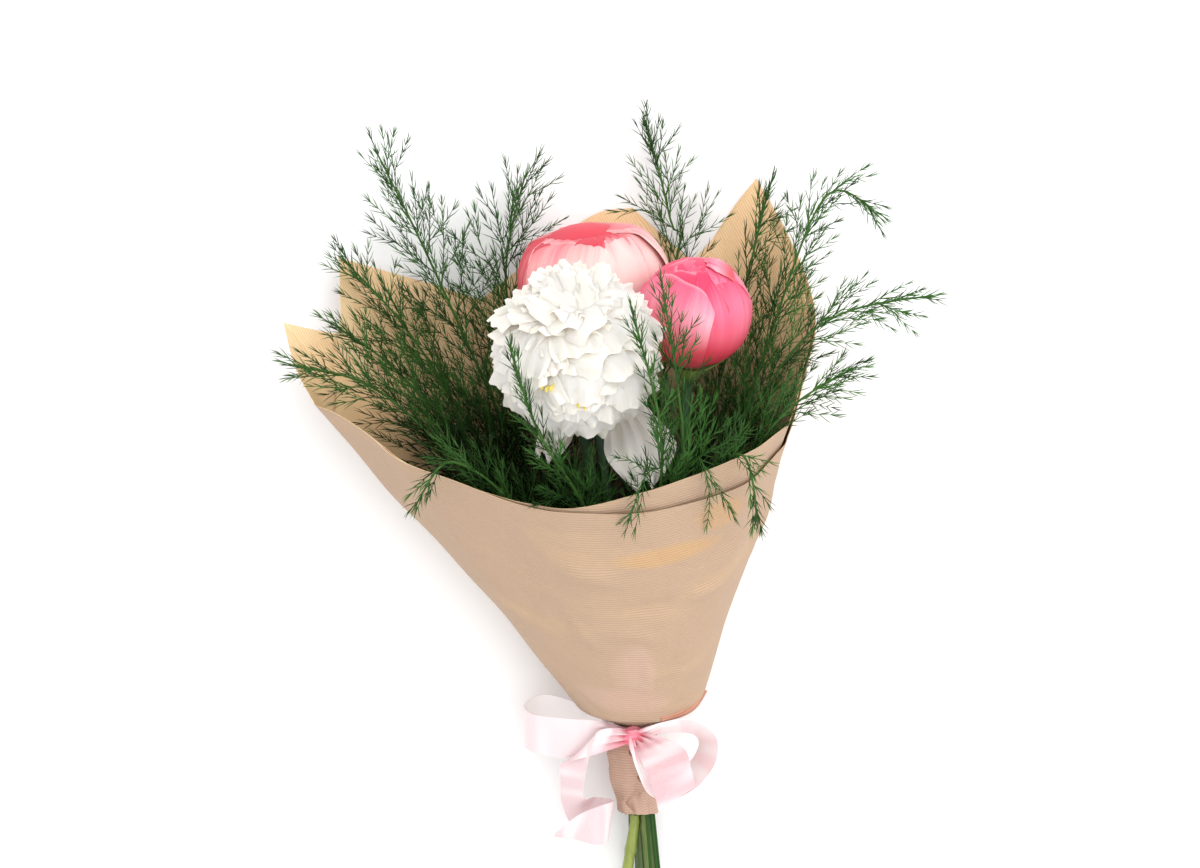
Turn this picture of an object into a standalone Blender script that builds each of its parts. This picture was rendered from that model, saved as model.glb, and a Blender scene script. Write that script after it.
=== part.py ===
"""A bunch of three cut peonies with sprays of asparagus fern, lying on its back.

The stems pass through the neck of two kraft paper cones, one inside the other, and a satin ribbon
is tied round the neck. Lengths are in metres. +Y runs from the cut ends to the flower heads and +Z
is up. The origin is on the table under the middle of the bunch, where the outer sheet lies flat.
"""

import math
import random

import bmesh
import bpy
import numpy as np
from mathutils import Matrix, Vector
from mathutils.bvhtree import BVHTree

GAP = 0.0004  # kept between pieces that touch

# The neck, where the ribbon is tied.
TIE = Vector((0.0224, -0.186, 0.0300))
TIE_END_Y = -0.196
STEM_DROP = 0.14  # how far the stems sink towards the table for each metre below the tie
STEM_DRIFT = 0.053  # how far they drift to the right in the same length
TAIL_Y = -0.2435  # where the paper ends below the tie
CUT_Y = -0.300

# The bundle of stems in the neck: three peony stems in the middle, the fern stems in a ring.
PEONY_STEM = 0.0033
FERN_STEM = 0.0011
INNER_RING = 0.0041
FERN_RING = 0.0088
FERN_SLOTS = 15

# The two sheets of paper.
PAPER = 0.0006
OUTER_NECK = 0.0122
NECK_INSET = 0.0010  # from the outer sheet's outer face to the inner sheet's
CONE_INSET = 0.0018
SHOULDER = Vector((0.024, -0.163, 0.030))
SHOULDER_HALF_WIDTH = 0.042
SHOULDER_LEAN = 0.018
SHOULDER_HALF_DEPTH = 0.031

# Fold lines of the cone: the angle round the neck in degrees (0 right, 90 up, 180 left, -90 on the
# table), the end of the line, and the shares of it that the outer and the inner sheet cover.
FOLD_LINES = (
    (-180, (-0.178, 0.018, 0.074), 1.00, 0.93),
    (-176, (-0.188, 0.034, 0.065), 1.00, 0.883),
    (-172, (-0.195, 0.050, 0.056), 1.00, 0.848),
    (-165, (-0.201, 0.0705, 0.045), 1.00, 0.825),
    (-157, (-0.168, 0.064, 0.038), 1.00, 1.00),
    (-149, (-0.1695, 0.087, 0.027), 0.92, 1.00),
    (-137, (-0.1705, 0.114, 0.014), 0.81, 1.00),
    (-125, (-0.126, 0.102, 0.006), 0.83, 1.00),
    (-115, (-0.102, 0.0955, 0.002), 0.85, 1.00),
    (-104, (-0.0785, 0.0876, 0.0), 0.88, 1.00),
    (-97, (-0.010, 0.140, 0.0), 0.74, 1.00),
    (-92, (0.021, 0.148, 0.0), 0.72, 1.00),
    (-82, (0.060, 0.1125, 0.0), 0.96, 1.00),
    (-76, (0.0815, 0.140, 0.0), 1.00, 0.985),
    (-70, (0.102, 0.1666, 0.008), 1.00, 0.985),
    (-60, (0.1195, 0.132, 0.020), 1.00, 0.985),
    (-45, (0.1315, 0.098, 0.038), 1.00, 0.985),
    (-30, (0.135, 0.0655, 0.058), 1.00, 0.985),
    (-15, (0.1295, 0.040, 0.075), 0.99, 0.99),
    (-7, (0.124, 0.018, 0.086), 0.965, 1.00),
    (0, (0.120, 0.008, 0.0935), 0.943, 1.00),
    (10, (0.1153, 0.0027, 0.1095), 0.926, 1.00),
    (30, (0.0937, -0.010, 0.1385), 0.889, 1.00),
    (60, (0.055, -0.026, 0.152), 0.906, 1.00),
    (75, (0.0228, -0.0362, 0.158), 0.932, 1.00),
    (90, (-0.0152, -0.0452, 0.1563), 0.988, 1.00),
    (105, (-0.0413, -0.043, 0.150), 0.995, 1.00),
    (120, (-0.0774, -0.0315, 0.138), 1.00, 0.985),
    (135, (-0.1194, -0.0157, 0.120), 1.00, 0.975),
    (150, (-0.140, -0.0018, 0.105), 1.00, 0.97),
    (165, (-0.1628, 0.0123, 0.088), 1.00, 0.96),
    (180, (-0.178, 0.018, 0.074), 1.00, 0.93),
)
CORNERS = (-165, -137, -104, -92, -82, -70)  # where the sheets' edges turn sharply
CONE_ROWS = (0.36, 0.70)  # shares of the fold lines where both sheets have a row, besides the rim

# The blooms: middle, axis towards the top of the flower, and half sizes across, across and along.
WHITE = (Vector((-0.0142, 0.049, 0.128)), Vector((-0.05, 0.62, 0.78)), Vector((0.0545, 0.053, 0.051)))
CORAL = (Vector((-0.0051, 0.098, 0.050)), Vector((0.03, 0.94, 0.30)), Vector((0.048, 0.039, 0.040)))
PINK = (Vector((0.0585, 0.0745, 0.090)), Vector((0.08, 0.90, 0.42)), Vector((0.035, 0.0345, 0.035)))
GOLDEN_ANGLE = math.radians(137.508)
BLADE = 0.0009  # thickness of the sepals and the ruffled petals
CLOSED_PETAL = 0.0036  # thickness of a cupped petal, most of it sunk in the head
RUFFLED_PETALS = 29
GUARD_PETALS = 6

# The layers of cupped petals of the closed heads: count, angle of their tops from the bloom's top,
# half width as an angle, reach in half sizes, and the angle round the bloom where they start.
CORAL_LAYERS = ((3, 0.30, 0.72, 0.97, 0.9), (4, 0.55, 0.66, 1.0, 0.2))
PINK_LAYERS = ((3, 0.20, 0.72, 0.97, 2.2), (3, 0.45, 0.76, 1.0, 0.6))

# Two guard petals hang down in front of the white head: turns as (middle, half width).
HANGING_PETALS = (
    (
        ((0.002, 0.037, 0.101), (0.006, 0.003, -0.002)),
        ((0.017, 0.005, 0.097), (0.013, 0.004, -0.004)),
        ((0.025, -0.014, 0.107), (0.019, 0.004, -0.004)),
        ((0.031, -0.030, 0.115), (0.012, 0.003, -0.002)),
    ),
    (
        ((-0.016, 0.032, 0.101), (0.005, -0.002, 0.001)),
        ((-0.026, 0.002, 0.099), (0.010, -0.002, 0.001)),
        ((-0.033, -0.014, 0.106), (0.007, -0.002, 0.001)),
    ),
)

# The calyx under each bloom: a cup from CUP_FOOT to CUP_RIM in radius, and its leaves.
CUP_LENGTH = 0.011
CUP_FOOT = 0.0032
CUP_RIM = 0.0092
SEPALS = (3.6, 4.7, 5.8)  # their angles round the bloom
SEPAL_ROOT = 0.0062  # from the bloom's axis
SEPAL_REACH = 1.055  # in half sizes of the bloom

# The peony stems: angle of the stem in the bundle, how much further out its cut end stands, and the
# points that it bends through.
WHITE_STEM = (145, 4.0, ((0.010, -0.110, 0.047),))
CORAL_STEM = (264, 1.4, ((0.013, -0.110, 0.024), (0.002, -0.020, 0.026)))
PINK_STEM = (24, 1.4, ((0.035, -0.110, 0.041), (0.051, -0.030, 0.052)))

# The fern sprays, in order round the neck from the right over the top: bends and tip.
FERN_SPRAYS = (
    ((0.057, -0.099, 0.040), (0.090, 0.002, 0.072), (0.132, 0.071, 0.095), (0.199, 0.084, 0.100)),
    ((0.056, -0.098, 0.062), (0.094, -0.008, 0.103), (0.122, 0.022, 0.120), (0.150, 0.038, 0.116)),
    ((0.050, -0.103, 0.072), (0.073, -0.030, 0.126), (0.084, -0.010, 0.150), (0.090, -0.028, 0.156),
     (0.093, -0.052, 0.146)),
    ((0.041, -0.110, 0.070), (0.052, -0.034, 0.126), (0.046, 0.028, 0.150), (0.037, 0.085, 0.155)),
    ((0.031, -0.117, 0.062), (0.036, -0.039, 0.130), (0.036, 0.008, 0.160), (0.019, 0.068, 0.182)),
    ((0.019, -0.117, 0.062), (-0.010, -0.039, 0.126), (-0.036, -0.003, 0.158), (-0.052, 0.050, 0.176)),
    ((0.010, -0.117, 0.060), (-0.050, -0.044, 0.116), (-0.084, -0.016, 0.138), (-0.096, -0.020, 0.145),
     (-0.108, -0.040, 0.142)),
    ((0.000, -0.131, 0.045), (-0.081, -0.029, 0.078), (-0.136, 0.030, 0.084), (-0.188, 0.042, 0.088)),
    ((0.000, -0.132, 0.035), (-0.076, -0.023, 0.055), (-0.126, 0.040, 0.058), (-0.165, 0.067, 0.062)),
    ((0.000, -0.133, 0.025), (-0.071, -0.017, 0.030), (-0.122, 0.067, 0.030), (-0.163, 0.110, 0.036)),
    ((0.006, -0.133, 0.018), (-0.058, -0.004, 0.016), (-0.109, 0.112, 0.030), (-0.141, 0.177, 0.042)),
    ((0.013, -0.134, 0.012), (-0.036, 0.022, 0.008), (-0.065, 0.093, 0.014), (-0.048, 0.166, 0.030)),
    ((0.026, -0.134, 0.010), (0.036, 0.022, 0.007), (0.053, 0.107, 0.011), (0.029, 0.202, 0.026)),
    ((0.039, -0.133, 0.014), (0.074, 0.022, 0.018), (0.096, 0.105, 0.026), (0.107, 0.155, 0.038)),
    ((0.045, -0.133, 0.022), (0.095, 0.021, 0.046), (0.123, 0.112, 0.070), (0.144, 0.156, 0.082),
     (0.172, 0.134, 0.088)),
)
BRANCHES = 5
NEEDLE = 0.0095
NEEDLE_SLOPE = (24, 38)  # degrees off the twig
TWIG = 0.0007

# The ribbon: its knot, and the turns of the bow's strips as (middle, half width). The left loop's
# half width is a share of LOOP_HALF.
RIBBON_WIDTH = 0.027
RIBBON = 0.0007
KNOT = Vector((0.0210, -0.1914, 0.0469))
KNOT_SIZES = (0.0078, 0.0056, 0.0049)
LOOP_HALF = Vector((0.0, 0.94, 0.34)) * RIBBON_WIDTH / 2
LEFT_LOOP = (
    (KNOT, 0.22),
    ((0.0030, -0.1880, 0.0520), 0.50),
    ((-0.0190, -0.1920, 0.0530), 1.00),
    ((-0.0420, -0.1900, 0.0460), 1.00),
    ((-0.0480, -0.1850, 0.0330), 1.00),
    ((-0.0350, -0.1800, 0.0225), 1.00),
    ((-0.0100, -0.1835, 0.0270), 0.72),
    ((0.0040, -0.1880, 0.0390), 0.40),
    (KNOT, 0.22),
)
LEFT_TAIL = (
    (KNOT, (0.0000, 0.0030, 0.0010)),
    ((0.0060, -0.1925, 0.0580), (0.0030, 0.0075, 0.0010)),
    ((-0.0090, -0.1965, 0.0590), (0.0070, 0.0090, 0.0020)),
    ((-0.0160, -0.2060, 0.0520), (0.0095, 0.0040, 0.0080)),
    ((-0.0178, -0.2200, 0.0420), (0.0075, 0.0000, 0.0115)),
    ((-0.0170, -0.2350, 0.0330), (0.0075, 0.0030, 0.0105)),
    ((-0.0100, -0.2440, 0.0250), (0.0060, 0.0110, 0.0050)),
    ((0.0020, -0.2470, 0.0260), (0.0010, 0.0130, 0.0010)),
    ((0.0070, -0.2475, 0.0350), (0.0020, 0.0130, 0.0000)),
    ((-0.0020, -0.2490, 0.0430), (0.0010, 0.0125, 0.0020)),
    ((-0.0150, -0.2505, 0.0410), (0.0010, 0.0080, 0.0020)),
    ((-0.0290, -0.2560, 0.0350), (0.0006, 0.0016, 0.0008)),
)
RIGHT_LOOP = (
    (KNOT, (0.0000, 0.0025, 0.0010)),
    ((0.0400, -0.1855, 0.0530), (0.0000, 0.0045, 0.0085)),
    ((0.0580, -0.1850, 0.0520), (0.0010, 0.0055, 0.0120)),
    ((0.0680, -0.1930, 0.0480), (0.0050, 0.0030, 0.0120)),
    ((0.0670, -0.2060, 0.0440), (0.0060, -0.0010, 0.0120)),
    ((0.0580, -0.2180, 0.0440), (0.0040, -0.0040, 0.0120)),
    ((0.0450, -0.2260, 0.0500), (0.0000, -0.0040, 0.0100)),
    ((0.0340, -0.2230, 0.0540), (-0.0030, -0.0030, 0.0090)),
    ((0.0270, -0.2110, 0.0550), (-0.0035, -0.0005, 0.0090)),
    ((0.0220, -0.1980, 0.0530), (-0.0030, 0.0000, 0.0050)),
    (KNOT, (-0.0030, 0.0000, 0.0006)),
)
RIGHT_TAIL = (
    (KNOT, (0.0010, 0.0025, 0.0010)),
    ((0.0310, -0.1945, 0.0590), (0.0090, 0.0035, 0.0020)),
    ((0.0400, -0.2020, 0.0670), (0.0130, 0.0050, 0.0010)),
    ((0.0450, -0.2150, 0.0700), (0.0120, 0.0060, 0.0000)),
    ((0.0480, -0.2280, 0.0670), (0.0115, 0.0074, 0.0000)),
)


# ---------------------------------------------------------------- shared tools


def material(name, colour, roughness):
    made = bpy.data.materials.new(name)
    made.use_nodes = True
    shader = made.node_tree.nodes["Principled BSDF"]
    shader.inputs["Base Color"].default_value = (*colour, 1.0)
    shader.inputs["Roughness"].default_value = roughness
    shader.inputs["Metallic"].default_value = 0.0
    return made


def smooth_run(points, steps):
    """Points on a smooth curve through the given ones, steps of them to a stretch."""
    rows = [np.array(p, float) for p in points]
    rows = [2 * rows[0] - rows[1], *rows, 2 * rows[-1] - rows[-2]]
    found = []
    for a, b, c, d in zip(rows, rows[1:], rows[2:], rows[3:]):
        slope, bend, twist = (c - a) / 2, a - 2.5 * b + 2 * c - 0.5 * d, (3 * b - a - 3 * c + d) / 2
        for step in range(steps):
            t = step / steps
            found.append(b + slope * t + bend * t**2 + twist * t**3)
    return [*found, rows[-2]]


def mesh_object(name, mesh, finish=None):
    made = bpy.data.objects.new(name, mesh)
    bpy.context.scene.collection.objects.link(made)
    if finish:
        mesh.materials.clear()
        mesh.materials.append(finish)
    return made


def evaluated_mesh(thing):
    bpy.context.view_layer.update()
    graph = bpy.context.evaluated_depsgraph_get()
    return bpy.data.meshes.new_from_object(thing.evaluated_get(graph))


def tube(points, radii, resolution):
    """A closed round bar along the points, as a mesh object."""
    curve = bpy.data.curves.new("tube", "CURVE")
    curve.dimensions = "3D"
    curve.bevel_depth = 1.0
    curve.bevel_resolution = resolution
    curve.use_fill_caps = True
    spline = curve.splines.new("POLY")
    spline.points.add(len(points) - 1)
    for knot, place, radius in zip(spline.points, points, radii):
        knot.co = (*place, 1.0)
        knot.radius = radius
    line = mesh_object("tube", curve)
    mesh = evaluated_mesh(line)
    bpy.data.objects.remove(line)
    welded = bmesh.new()
    welded.from_mesh(mesh)
    bmesh.ops.remove_doubles(welded, verts=welded.verts, dist=0.00001)
    bmesh.ops.recalc_face_normals(welded, faces=welded.faces)
    welded.to_mesh(mesh)
    welded.free()
    return mesh_object("tube", mesh)


def grid_surface(rows, closed=False):
    """An open surface through rows of points, split into triangles; closed joins each row's ends."""
    sheet = bmesh.new()
    knots = [[sheet.verts.new(p) for p in row] for row in rows]
    for low, high in zip(knots, knots[1:]):
        spans = len(low) if closed else len(low) - 1
        for i in range(spans):
            j = (i + 1) % len(low)
            sheet.faces.new((low[i], low[j], high[j], high[i]))
    bmesh.ops.triangulate(sheet, faces=sheet.faces)
    mesh = bpy.data.meshes.new("surface")
    sheet.to_mesh(mesh)
    sheet.free()
    return mesh_object("surface", mesh)


def thicken(sheet, thickness, offset=-1.0):
    """The open surface as a closed blade of that thickness; offset -1 keeps its outer face."""
    solidify = sheet.modifiers.new("thickness", "SOLIDIFY")
    solidify.thickness = thickness
    solidify.offset = offset
    solidify.use_rim = True
    mesh = evaluated_mesh(sheet)
    sheet.modifiers.clear()
    sheet.data = mesh
    return sheet


def cone_between(root, tip, root_radius, tip_radius, sides):
    """A straight taper from root to tip."""
    root, tip = Vector(root), Vector(tip)
    along = tip - root
    taper = bmesh.new()
    bmesh.ops.create_cone(
        taper, cap_ends=True, segments=sides, radius1=root_radius, radius2=tip_radius, depth=along.length
    )
    turn = along.to_track_quat("Z", "Y").to_matrix().to_4x4()
    bmesh.ops.transform(taper, matrix=Matrix.Translation((root + tip) / 2) @ turn, verts=taper.verts)
    mesh = bpy.data.meshes.new("taper")
    taper.to_mesh(mesh)
    taper.free()
    return mesh_object("taper", mesh)


def ball(middle, turn, sizes, segments):
    """A closed ellipsoid with its poles along the turned Z."""
    globe = bmesh.new()
    bmesh.ops.create_uvsphere(globe, u_segments=segments, v_segments=segments // 2 + 1, radius=1.0)
    place = Matrix.Translation(middle) @ turn.to_4x4() @ Matrix.Diagonal((*sizes, 1.0))
    bmesh.ops.transform(globe, matrix=place, verts=globe.verts)
    mesh = bpy.data.meshes.new("ball")
    globe.to_mesh(mesh)
    globe.free()
    return mesh_object("ball", mesh)


def fuse(name, base, pieces, finish):
    """One solid from a base and the pieces that grow out of it."""
    grown = bpy.data.collections.new("pieces to join")
    bpy.context.scene.collection.children.link(grown)
    for piece in pieces:
        bpy.context.scene.collection.objects.unlink(piece)
        grown.objects.link(piece)
    union = base.modifiers.new("union", "BOOLEAN")
    union.operation = "UNION"
    union.operand_type = "COLLECTION"
    union.collection = grown
    union.solver = "MANIFOLD"
    mesh = evaluated_mesh(base)
    for piece in [*pieces, base]:
        bpy.data.objects.remove(piece)
    bpy.data.collections.remove(grown)
    drop_scraps(mesh)
    return keep(mesh_object(name, mesh, finish))


def drop_scraps(mesh):
    """Keeps only the largest body of a mesh, as a union can leave loose bits."""
    solid = bmesh.new()
    solid.from_mesh(mesh)
    bmesh.ops.dissolve_limit(solid, angle_limit=0.02, verts=solid.verts, edges=solid.edges)
    bmesh.ops.triangulate(solid, faces=solid.faces)
    unseen = set(solid.faces)
    bodies = []
    while unseen:
        front = [unseen.pop()]
        found = []
        while front:
            face = front.pop()
            found.append(face)
            beside = [other for edge in face.edges for other in edge.link_faces if other in unseen]
            unseen.difference_update(beside)
            front += set(beside)
        bodies.append(found)
    bodies.sort(key=len)
    loose = [face for body in bodies[:-1] for face in body]
    bmesh.ops.delete(solid, geom=loose, context="FACES")
    solid.to_mesh(mesh)
    solid.free()


def keep(thing):
    """Shades a finished piece and moves it into the object's collection."""
    thing.data.shade_smooth()
    thing.data.set_sharp_from_angle(angle=math.radians(35))
    bpy.context.scene.collection.objects.unlink(thing)
    BUNCH.objects.link(thing)
    return thing


def surface_tree(thing):
    graph = bpy.context.evaluated_depsgraph_get()
    bpy.context.view_layer.update()
    return BVHTree.FromObject(thing, graph)


def is_clear(points, radius, trees):
    """Whether a thin round run along the points keeps clear of every surface."""
    reach = radius + GAP
    return not any(tree.find_nearest(Vector(p), reach)[0] for p in points for tree in trees)


def bent_clear(points, radius, trees):
    """The path, pushed away from the surfaces that it would cross, and kept smooth."""
    path = [Vector(p) for p in points]
    free_from = next(i for i, p in enumerate(path) if p.y > TIE.y + 0.020)
    need = radius + 4 * GAP
    for _ in range(40):
        for i in range(free_from, len(path) - 1):
            path[i] = path[i] * 0.6 + (path[i - 1] + path[i + 1]) * 0.2
        for i in range(free_from, len(path)):
            for tree in trees:
                spot, normal, _, away = tree.find_nearest(path[i], 0.012)
                if spot is None:
                    continue
                inside = (path[i] - spot).dot(normal) < 0
                if inside:
                    path[i] += normal * (need + away)
                elif away < need:
                    path[i] += (path[i] - spot).normalized() * (need - away)
    return path


def thinned(path, slack):
    """The path with fewer points: those left out lie within the slack of the straight runs."""
    kept, start = [0], 0
    for end in range(2, len(path)):
        run = path[end] - path[start]
        for p in path[start + 1 : end]:
            off = (p - path[start]).cross(run).length / run.length
            if off > slack:
                start = end - 1
                kept.append(start)
                break
    return [path[i] for i in [*kept, len(path) - 1]]


# ---------------------------------------------------------------- paper


def fold_lines():
    """The fold lines at even steps: (angle, end, outer share, inner share), -180 up to 180."""
    rows = [np.array((angle, *end, outer, inner)) for angle, end, outer, inner in FOLD_LINES]
    turns = [0, *(i for i, row in enumerate(rows) if row[0] in CORNERS), len(rows) - 1]
    lines = []
    for first, last in zip(turns, turns[1:]):
        halved = smooth_run(rows[first : last + 1], 2)[:-1]
        lines += [line for i, line in enumerate(halved) if i % 2 == 0 or halved[i - 1][0] + 5 < line[0]]
    return lines


def ring_point(angle, y, radius):
    """A point on the round tube of paper below the shoulder."""
    below = TIE.y - y
    middle = Vector((TIE.x + STEM_DRIFT * below, y, TIE.z - STEM_DROP * below))
    return middle + Vector((math.cos(angle), 0.0, math.sin(angle))) * radius


def shoulder_point(angle):
    """Where the cone opens out above the tie; its back lies on the table."""
    height = max(0.0, SHOULDER.z + SHOULDER_HALF_DEPTH * math.sin(angle))
    lean = SHOULDER_LEAN * math.sin(angle)
    return Vector((SHOULDER.x + SHOULDER_HALF_WIDTH * math.cos(angle), SHOULDER.y - lean, height))


def cone_rows(share_column, neck_rows):
    """Rows of points up a sheet: the neck rings, the shoulder, then the cone up to the rim."""
    lines = fold_lines()
    angles = [math.radians(line[0]) for line in lines]
    rows = [[ring_point(a, y, radius) for a in angles] for y, radius in neck_rows]
    rows.append([shoulder_point(a) for a in angles])
    for share in (*CONE_ROWS, None):
        row = []
        for angle, line in zip(angles, lines):
            point = shoulder_point(angle).lerp(Vector(line[1:4]), share or line[share_column])
            row.append(Vector((point.x, point.y, max(0.0, point.z))))
        rows.append(row)
    return rows


def inset_rows(rows, neck_rows):
    """The same rows moved inwards, square to the surface."""
    moved = []
    for r, row in enumerate(rows):
        low, high = rows[max(r - 1, 0)], rows[min(r + 1, len(rows) - 1)]
        moved.append([])
        for i, point in enumerate(row):
            across = row[(i + 1) % len(row)] - row[i - 1]
            outward = (high[i] - low[i]).cross(across).normalized()
            moved[-1].append(point - outward * (NECK_INSET if r < neck_rows else CONE_INSET))
    return moved


def paper_sheet(name, rows, finish):
    sheet = thicken(grid_surface([row[::-1] for row in rows], closed=True), PAPER)
    sheet.name = name
    sheet.data.materials.append(finish)
    return keep(sheet)


def paper_sheets(finish):
    outer = cone_rows(4, ((TAIL_Y, OUTER_NECK + 0.0008), (TIE_END_Y, OUTER_NECK), (TIE.y, OUTER_NECK)))
    inner = cone_rows(5, ((-0.201, OUTER_NECK), (TIE.y, OUTER_NECK)))
    return [
        paper_sheet("paper_outer_sheet", outer, finish),
        paper_sheet("paper_inner_sheet", inset_rows(inner, 2), finish),
    ]


# ---------------------------------------------------------------- peonies


def bloom_frame(bloom):
    """The turn from a bloom's own axes, with Z up its middle, to the bunch's."""
    return bloom[1].to_track_quat("Z", "Y").to_matrix()


def bloom_point(bloom, polar, azimuth, sideways, reach):
    """A point at reach half sizes from a bloom's middle, in a direction given by the angle from its
    top, the angle round it, and an angle sideways off that line."""
    middle, _, sizes = bloom
    flat = math.sin(polar)
    along = Vector((flat * math.cos(azimuth), flat * math.sin(azimuth), math.cos(polar)))
    side = Vector((-math.sin(azimuth), math.cos(azimuth), 0.0))
    ray = along * math.cos(sideways) + side * math.sin(sideways)
    local = Vector((ray.x * sizes.x, ray.y * sizes.y, ray.z * sizes.z)) * reach
    return middle + bloom_frame(bloom) @ local


def ruffled_petal(bloom, polar, azimuth, spread, reach, draw):
    """One narrow petal that stands out of the head, with a waved and notched edge."""
    columns, steps = 2, 2
    wave, phase = draw.uniform(0.020, 0.045), draw.uniform(0.0, math.tau)
    length, lean = draw.uniform(0.62, 0.80), draw.uniform(-0.12, 0.12)
    rows = []
    for v in range(steps + 1):
        up = v / steps
        row = []
        for u in range(columns + 1):
            side = 2 * u / columns - 1
            notch = 0.05 * (1 - abs(side)) if v == steps else 0.0
            width = spread * math.sin(math.pi * (0.16 + 0.62 * up)) * side
            height = reach * (0.62 + 0.38 * up**0.8 - notch)
            height += wave * up * math.sin(2.6 * side * math.pi + phase) - 0.05 * up * side * side
            angle = polar + length * (1 - up) - 0.07 * up
            row.append(bloom_point(bloom, angle, azimuth + lean * up, width, min(height, 1.0)))
        rows.append(row)
    return thicken(grid_surface([row[::-1] for row in rows]), BLADE, 0.0)


def cupped_petal(bloom, bottom, top, azimuth, spread, reach, draw):
    """One broad petal wrapped round a closed head, rounded at the top, standing off it there."""
    columns, steps = 4, 3
    sway = draw.uniform(-0.08, 0.08)
    rows = []
    for v in range(steps + 1):
        up = v / steps
        row = []
        for u in range(columns + 1):
            side = 2 * u / columns - 1
            from_middle = abs(2 * up - 1)
            rounding = math.sqrt(1 - from_middle**4) if up > 0.5 else 1 - 0.45 * from_middle**2
            width = spread * max(rounding, 0.42) * side
            angle = bottom + (top - bottom) * up + 0.16 * up * side * side
            lifted = reach * (0.95 + 0.05 * min(1.0, 3 * up)) - 0.02 * abs(side) ** 3 * (1 - up)
            row.append(bloom_point(bloom, angle, azimuth + sway * up, width, lifted))
        rows.append(row)
    return thicken(grid_surface(rows), CLOSED_PETAL)


def hanging_petal(turns):
    """A guard petal that hangs down in front of its bloom, each turn a middle and a half width."""
    crown = Vector((0.0, 0.0, 0.003))
    rows = []
    for middle, half in turns:
        middle, half = Vector(middle), Vector(half)
        rows.append([middle - half, middle + crown, middle + half])
    return thicken(grid_surface(rows), BLADE, 0.0)


def bloom_core(bloom, share, segments):
    """The dense heart of a head."""
    return ball(bloom[0], bloom_frame(bloom), bloom[2] * share, segments)


def bloom_foot(bloom):
    """The short neck under the petals, flat where it sits on the calyx."""
    middle, axis, sizes = bloom
    axis = axis.normalized()
    return cone_between(middle - axis * sizes.z, middle - axis * sizes.z * 0.7, 0.0075, 0.013, 12)


def white_bloom(finish):
    """The open head: ruffled petals all round it, larger ones under them, and two that hang."""
    draw = random.Random(11)
    petals = [bloom_foot(WHITE)]
    for i in range(RUFFLED_PETALS):
        polar = math.acos(1 - 1.50 * (i + 0.5) / RUFFLED_PETALS)
        spread = 0.36 + 0.06 * draw.random()
        petals.append(ruffled_petal(WHITE, polar, i * GOLDEN_ANGLE, spread, draw.uniform(0.93, 1.0), draw))
    for i in range(GUARD_PETALS):
        petals.append(ruffled_petal(WHITE, 2.05, i * math.tau / GUARD_PETALS + 0.3, 0.52, 1.0, draw))
    petals += [hanging_petal(turns) for turns in HANGING_PETALS]
    return fuse("white_peony_petals", bloom_core(WHITE, 0.80, 12), petals, finish)


def closed_bloom(name, bloom, layers, seed, finish):
    """A head that is still closed, in layers of cupped petals."""
    draw = random.Random(seed)
    petals = [bloom_foot(bloom)]
    for count, top, spread, reach, start in layers:
        for i in range(count):
            azimuth = start + i * math.tau / count
            petals.append(cupped_petal(bloom, 2.75, top, azimuth, spread, reach, draw))
    return fuse(name, bloom_core(bloom, 0.94, 14), petals, finish)


def sepal(bloom, azimuth):
    """A leaf of the calyx, curved up under the petals from the edge of the cup."""
    bottom = math.pi - SEPAL_ROOT / bloom[2].x
    rows = []
    for up in (0.0, 0.5, 1.0):
        width = 0.20 * math.sqrt(1 - up**2) + 0.03
        polar = bottom - 0.80 * up
        rows.append([bloom_point(bloom, polar, azimuth, side * width, SEPAL_REACH) for side in (-1, 0, 1)])
    return thicken(grid_surface(rows), BLADE, 1.0)


def peony_stem(name, bloom, stem, finish):
    """The cut stem with the calyx cup and the sepals under its bloom."""
    middle, axis, sizes = bloom
    slot, splay, bends = stem
    axis = axis.normalized()
    seat = middle - axis * (sizes.z + GAP)
    cup_bottom = seat - axis * CUP_LENGTH
    shift = Vector((math.cos(math.radians(slot)), 0.0, math.sin(math.radians(slot)))) * INNER_RING
    cut_end = ring_point(0.0, CUT_Y, 0.0) + Vector((splay * shift.x, 0.0, 1.3 * shift.z))
    way = [TIE + shift, *(Vector(bend) for bend in bends)]
    way += [cup_bottom - axis * 0.012, cup_bottom + axis * 0.004]
    path = [cut_end, ring_point(0.0, TAIL_Y - 0.006, 0.0) + shift, *smooth_run(way, 3)]
    stalk = tube(path, [PEONY_STEM] * len(path), 2)
    cup = cone_between(cup_bottom, seat, CUP_FOOT, CUP_RIM, 10)
    sepals = [sepal(bloom, azimuth) for azimuth in SEPALS]
    return fuse(name, stalk, [cup, *sepals], finish)


# ---------------------------------------------------------------- fern


def fern_path(index, bends):
    """A spray's stem from its cut end, through its slot in the neck, to its tip."""
    angle = math.tau * (index - 0.5) / FERN_SLOTS
    shift = Vector((math.cos(angle), 0.0, math.sin(angle))) * FERN_RING
    if shift.x < 0.004 and shift.z > -0.006:
        cut = ring_point(0.0, TAIL_Y - 0.008, 0.0) + shift
    else:
        cut = ring_point(0.0, CUT_Y + 0.007 * (index % 3), 0.0) + shift * 1.3
    tail = ring_point(0.0, TAIL_Y, 0.0) + shift
    return [cut, tail, *smooth_run([TIE + shift, *(Vector(bend) for bend in bends)], 12)]


def stem_radii(lengths):
    """Even over the lower half, then finer towards the tip."""
    whole = lengths[-1]
    return [FERN_STEM * (1.0 - 0.9 * max(0.0, length / whole - 0.5)) for length in lengths]


def run_length(path):
    """The distance along a path at each of its points."""
    lengths = [0.0]
    for a, b in zip(path, path[1:]):
        lengths.append(lengths[-1] + (b - a).length)
    return lengths


def point_along(path, lengths, distance):
    """The point and direction at a distance along a path."""
    i = max(j for j in range(len(path) - 1) if lengths[j] <= distance)
    step = path[i + 1] - path[i]
    return path[i] + step.normalized() * (distance - lengths[i]), step.normalized()


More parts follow.
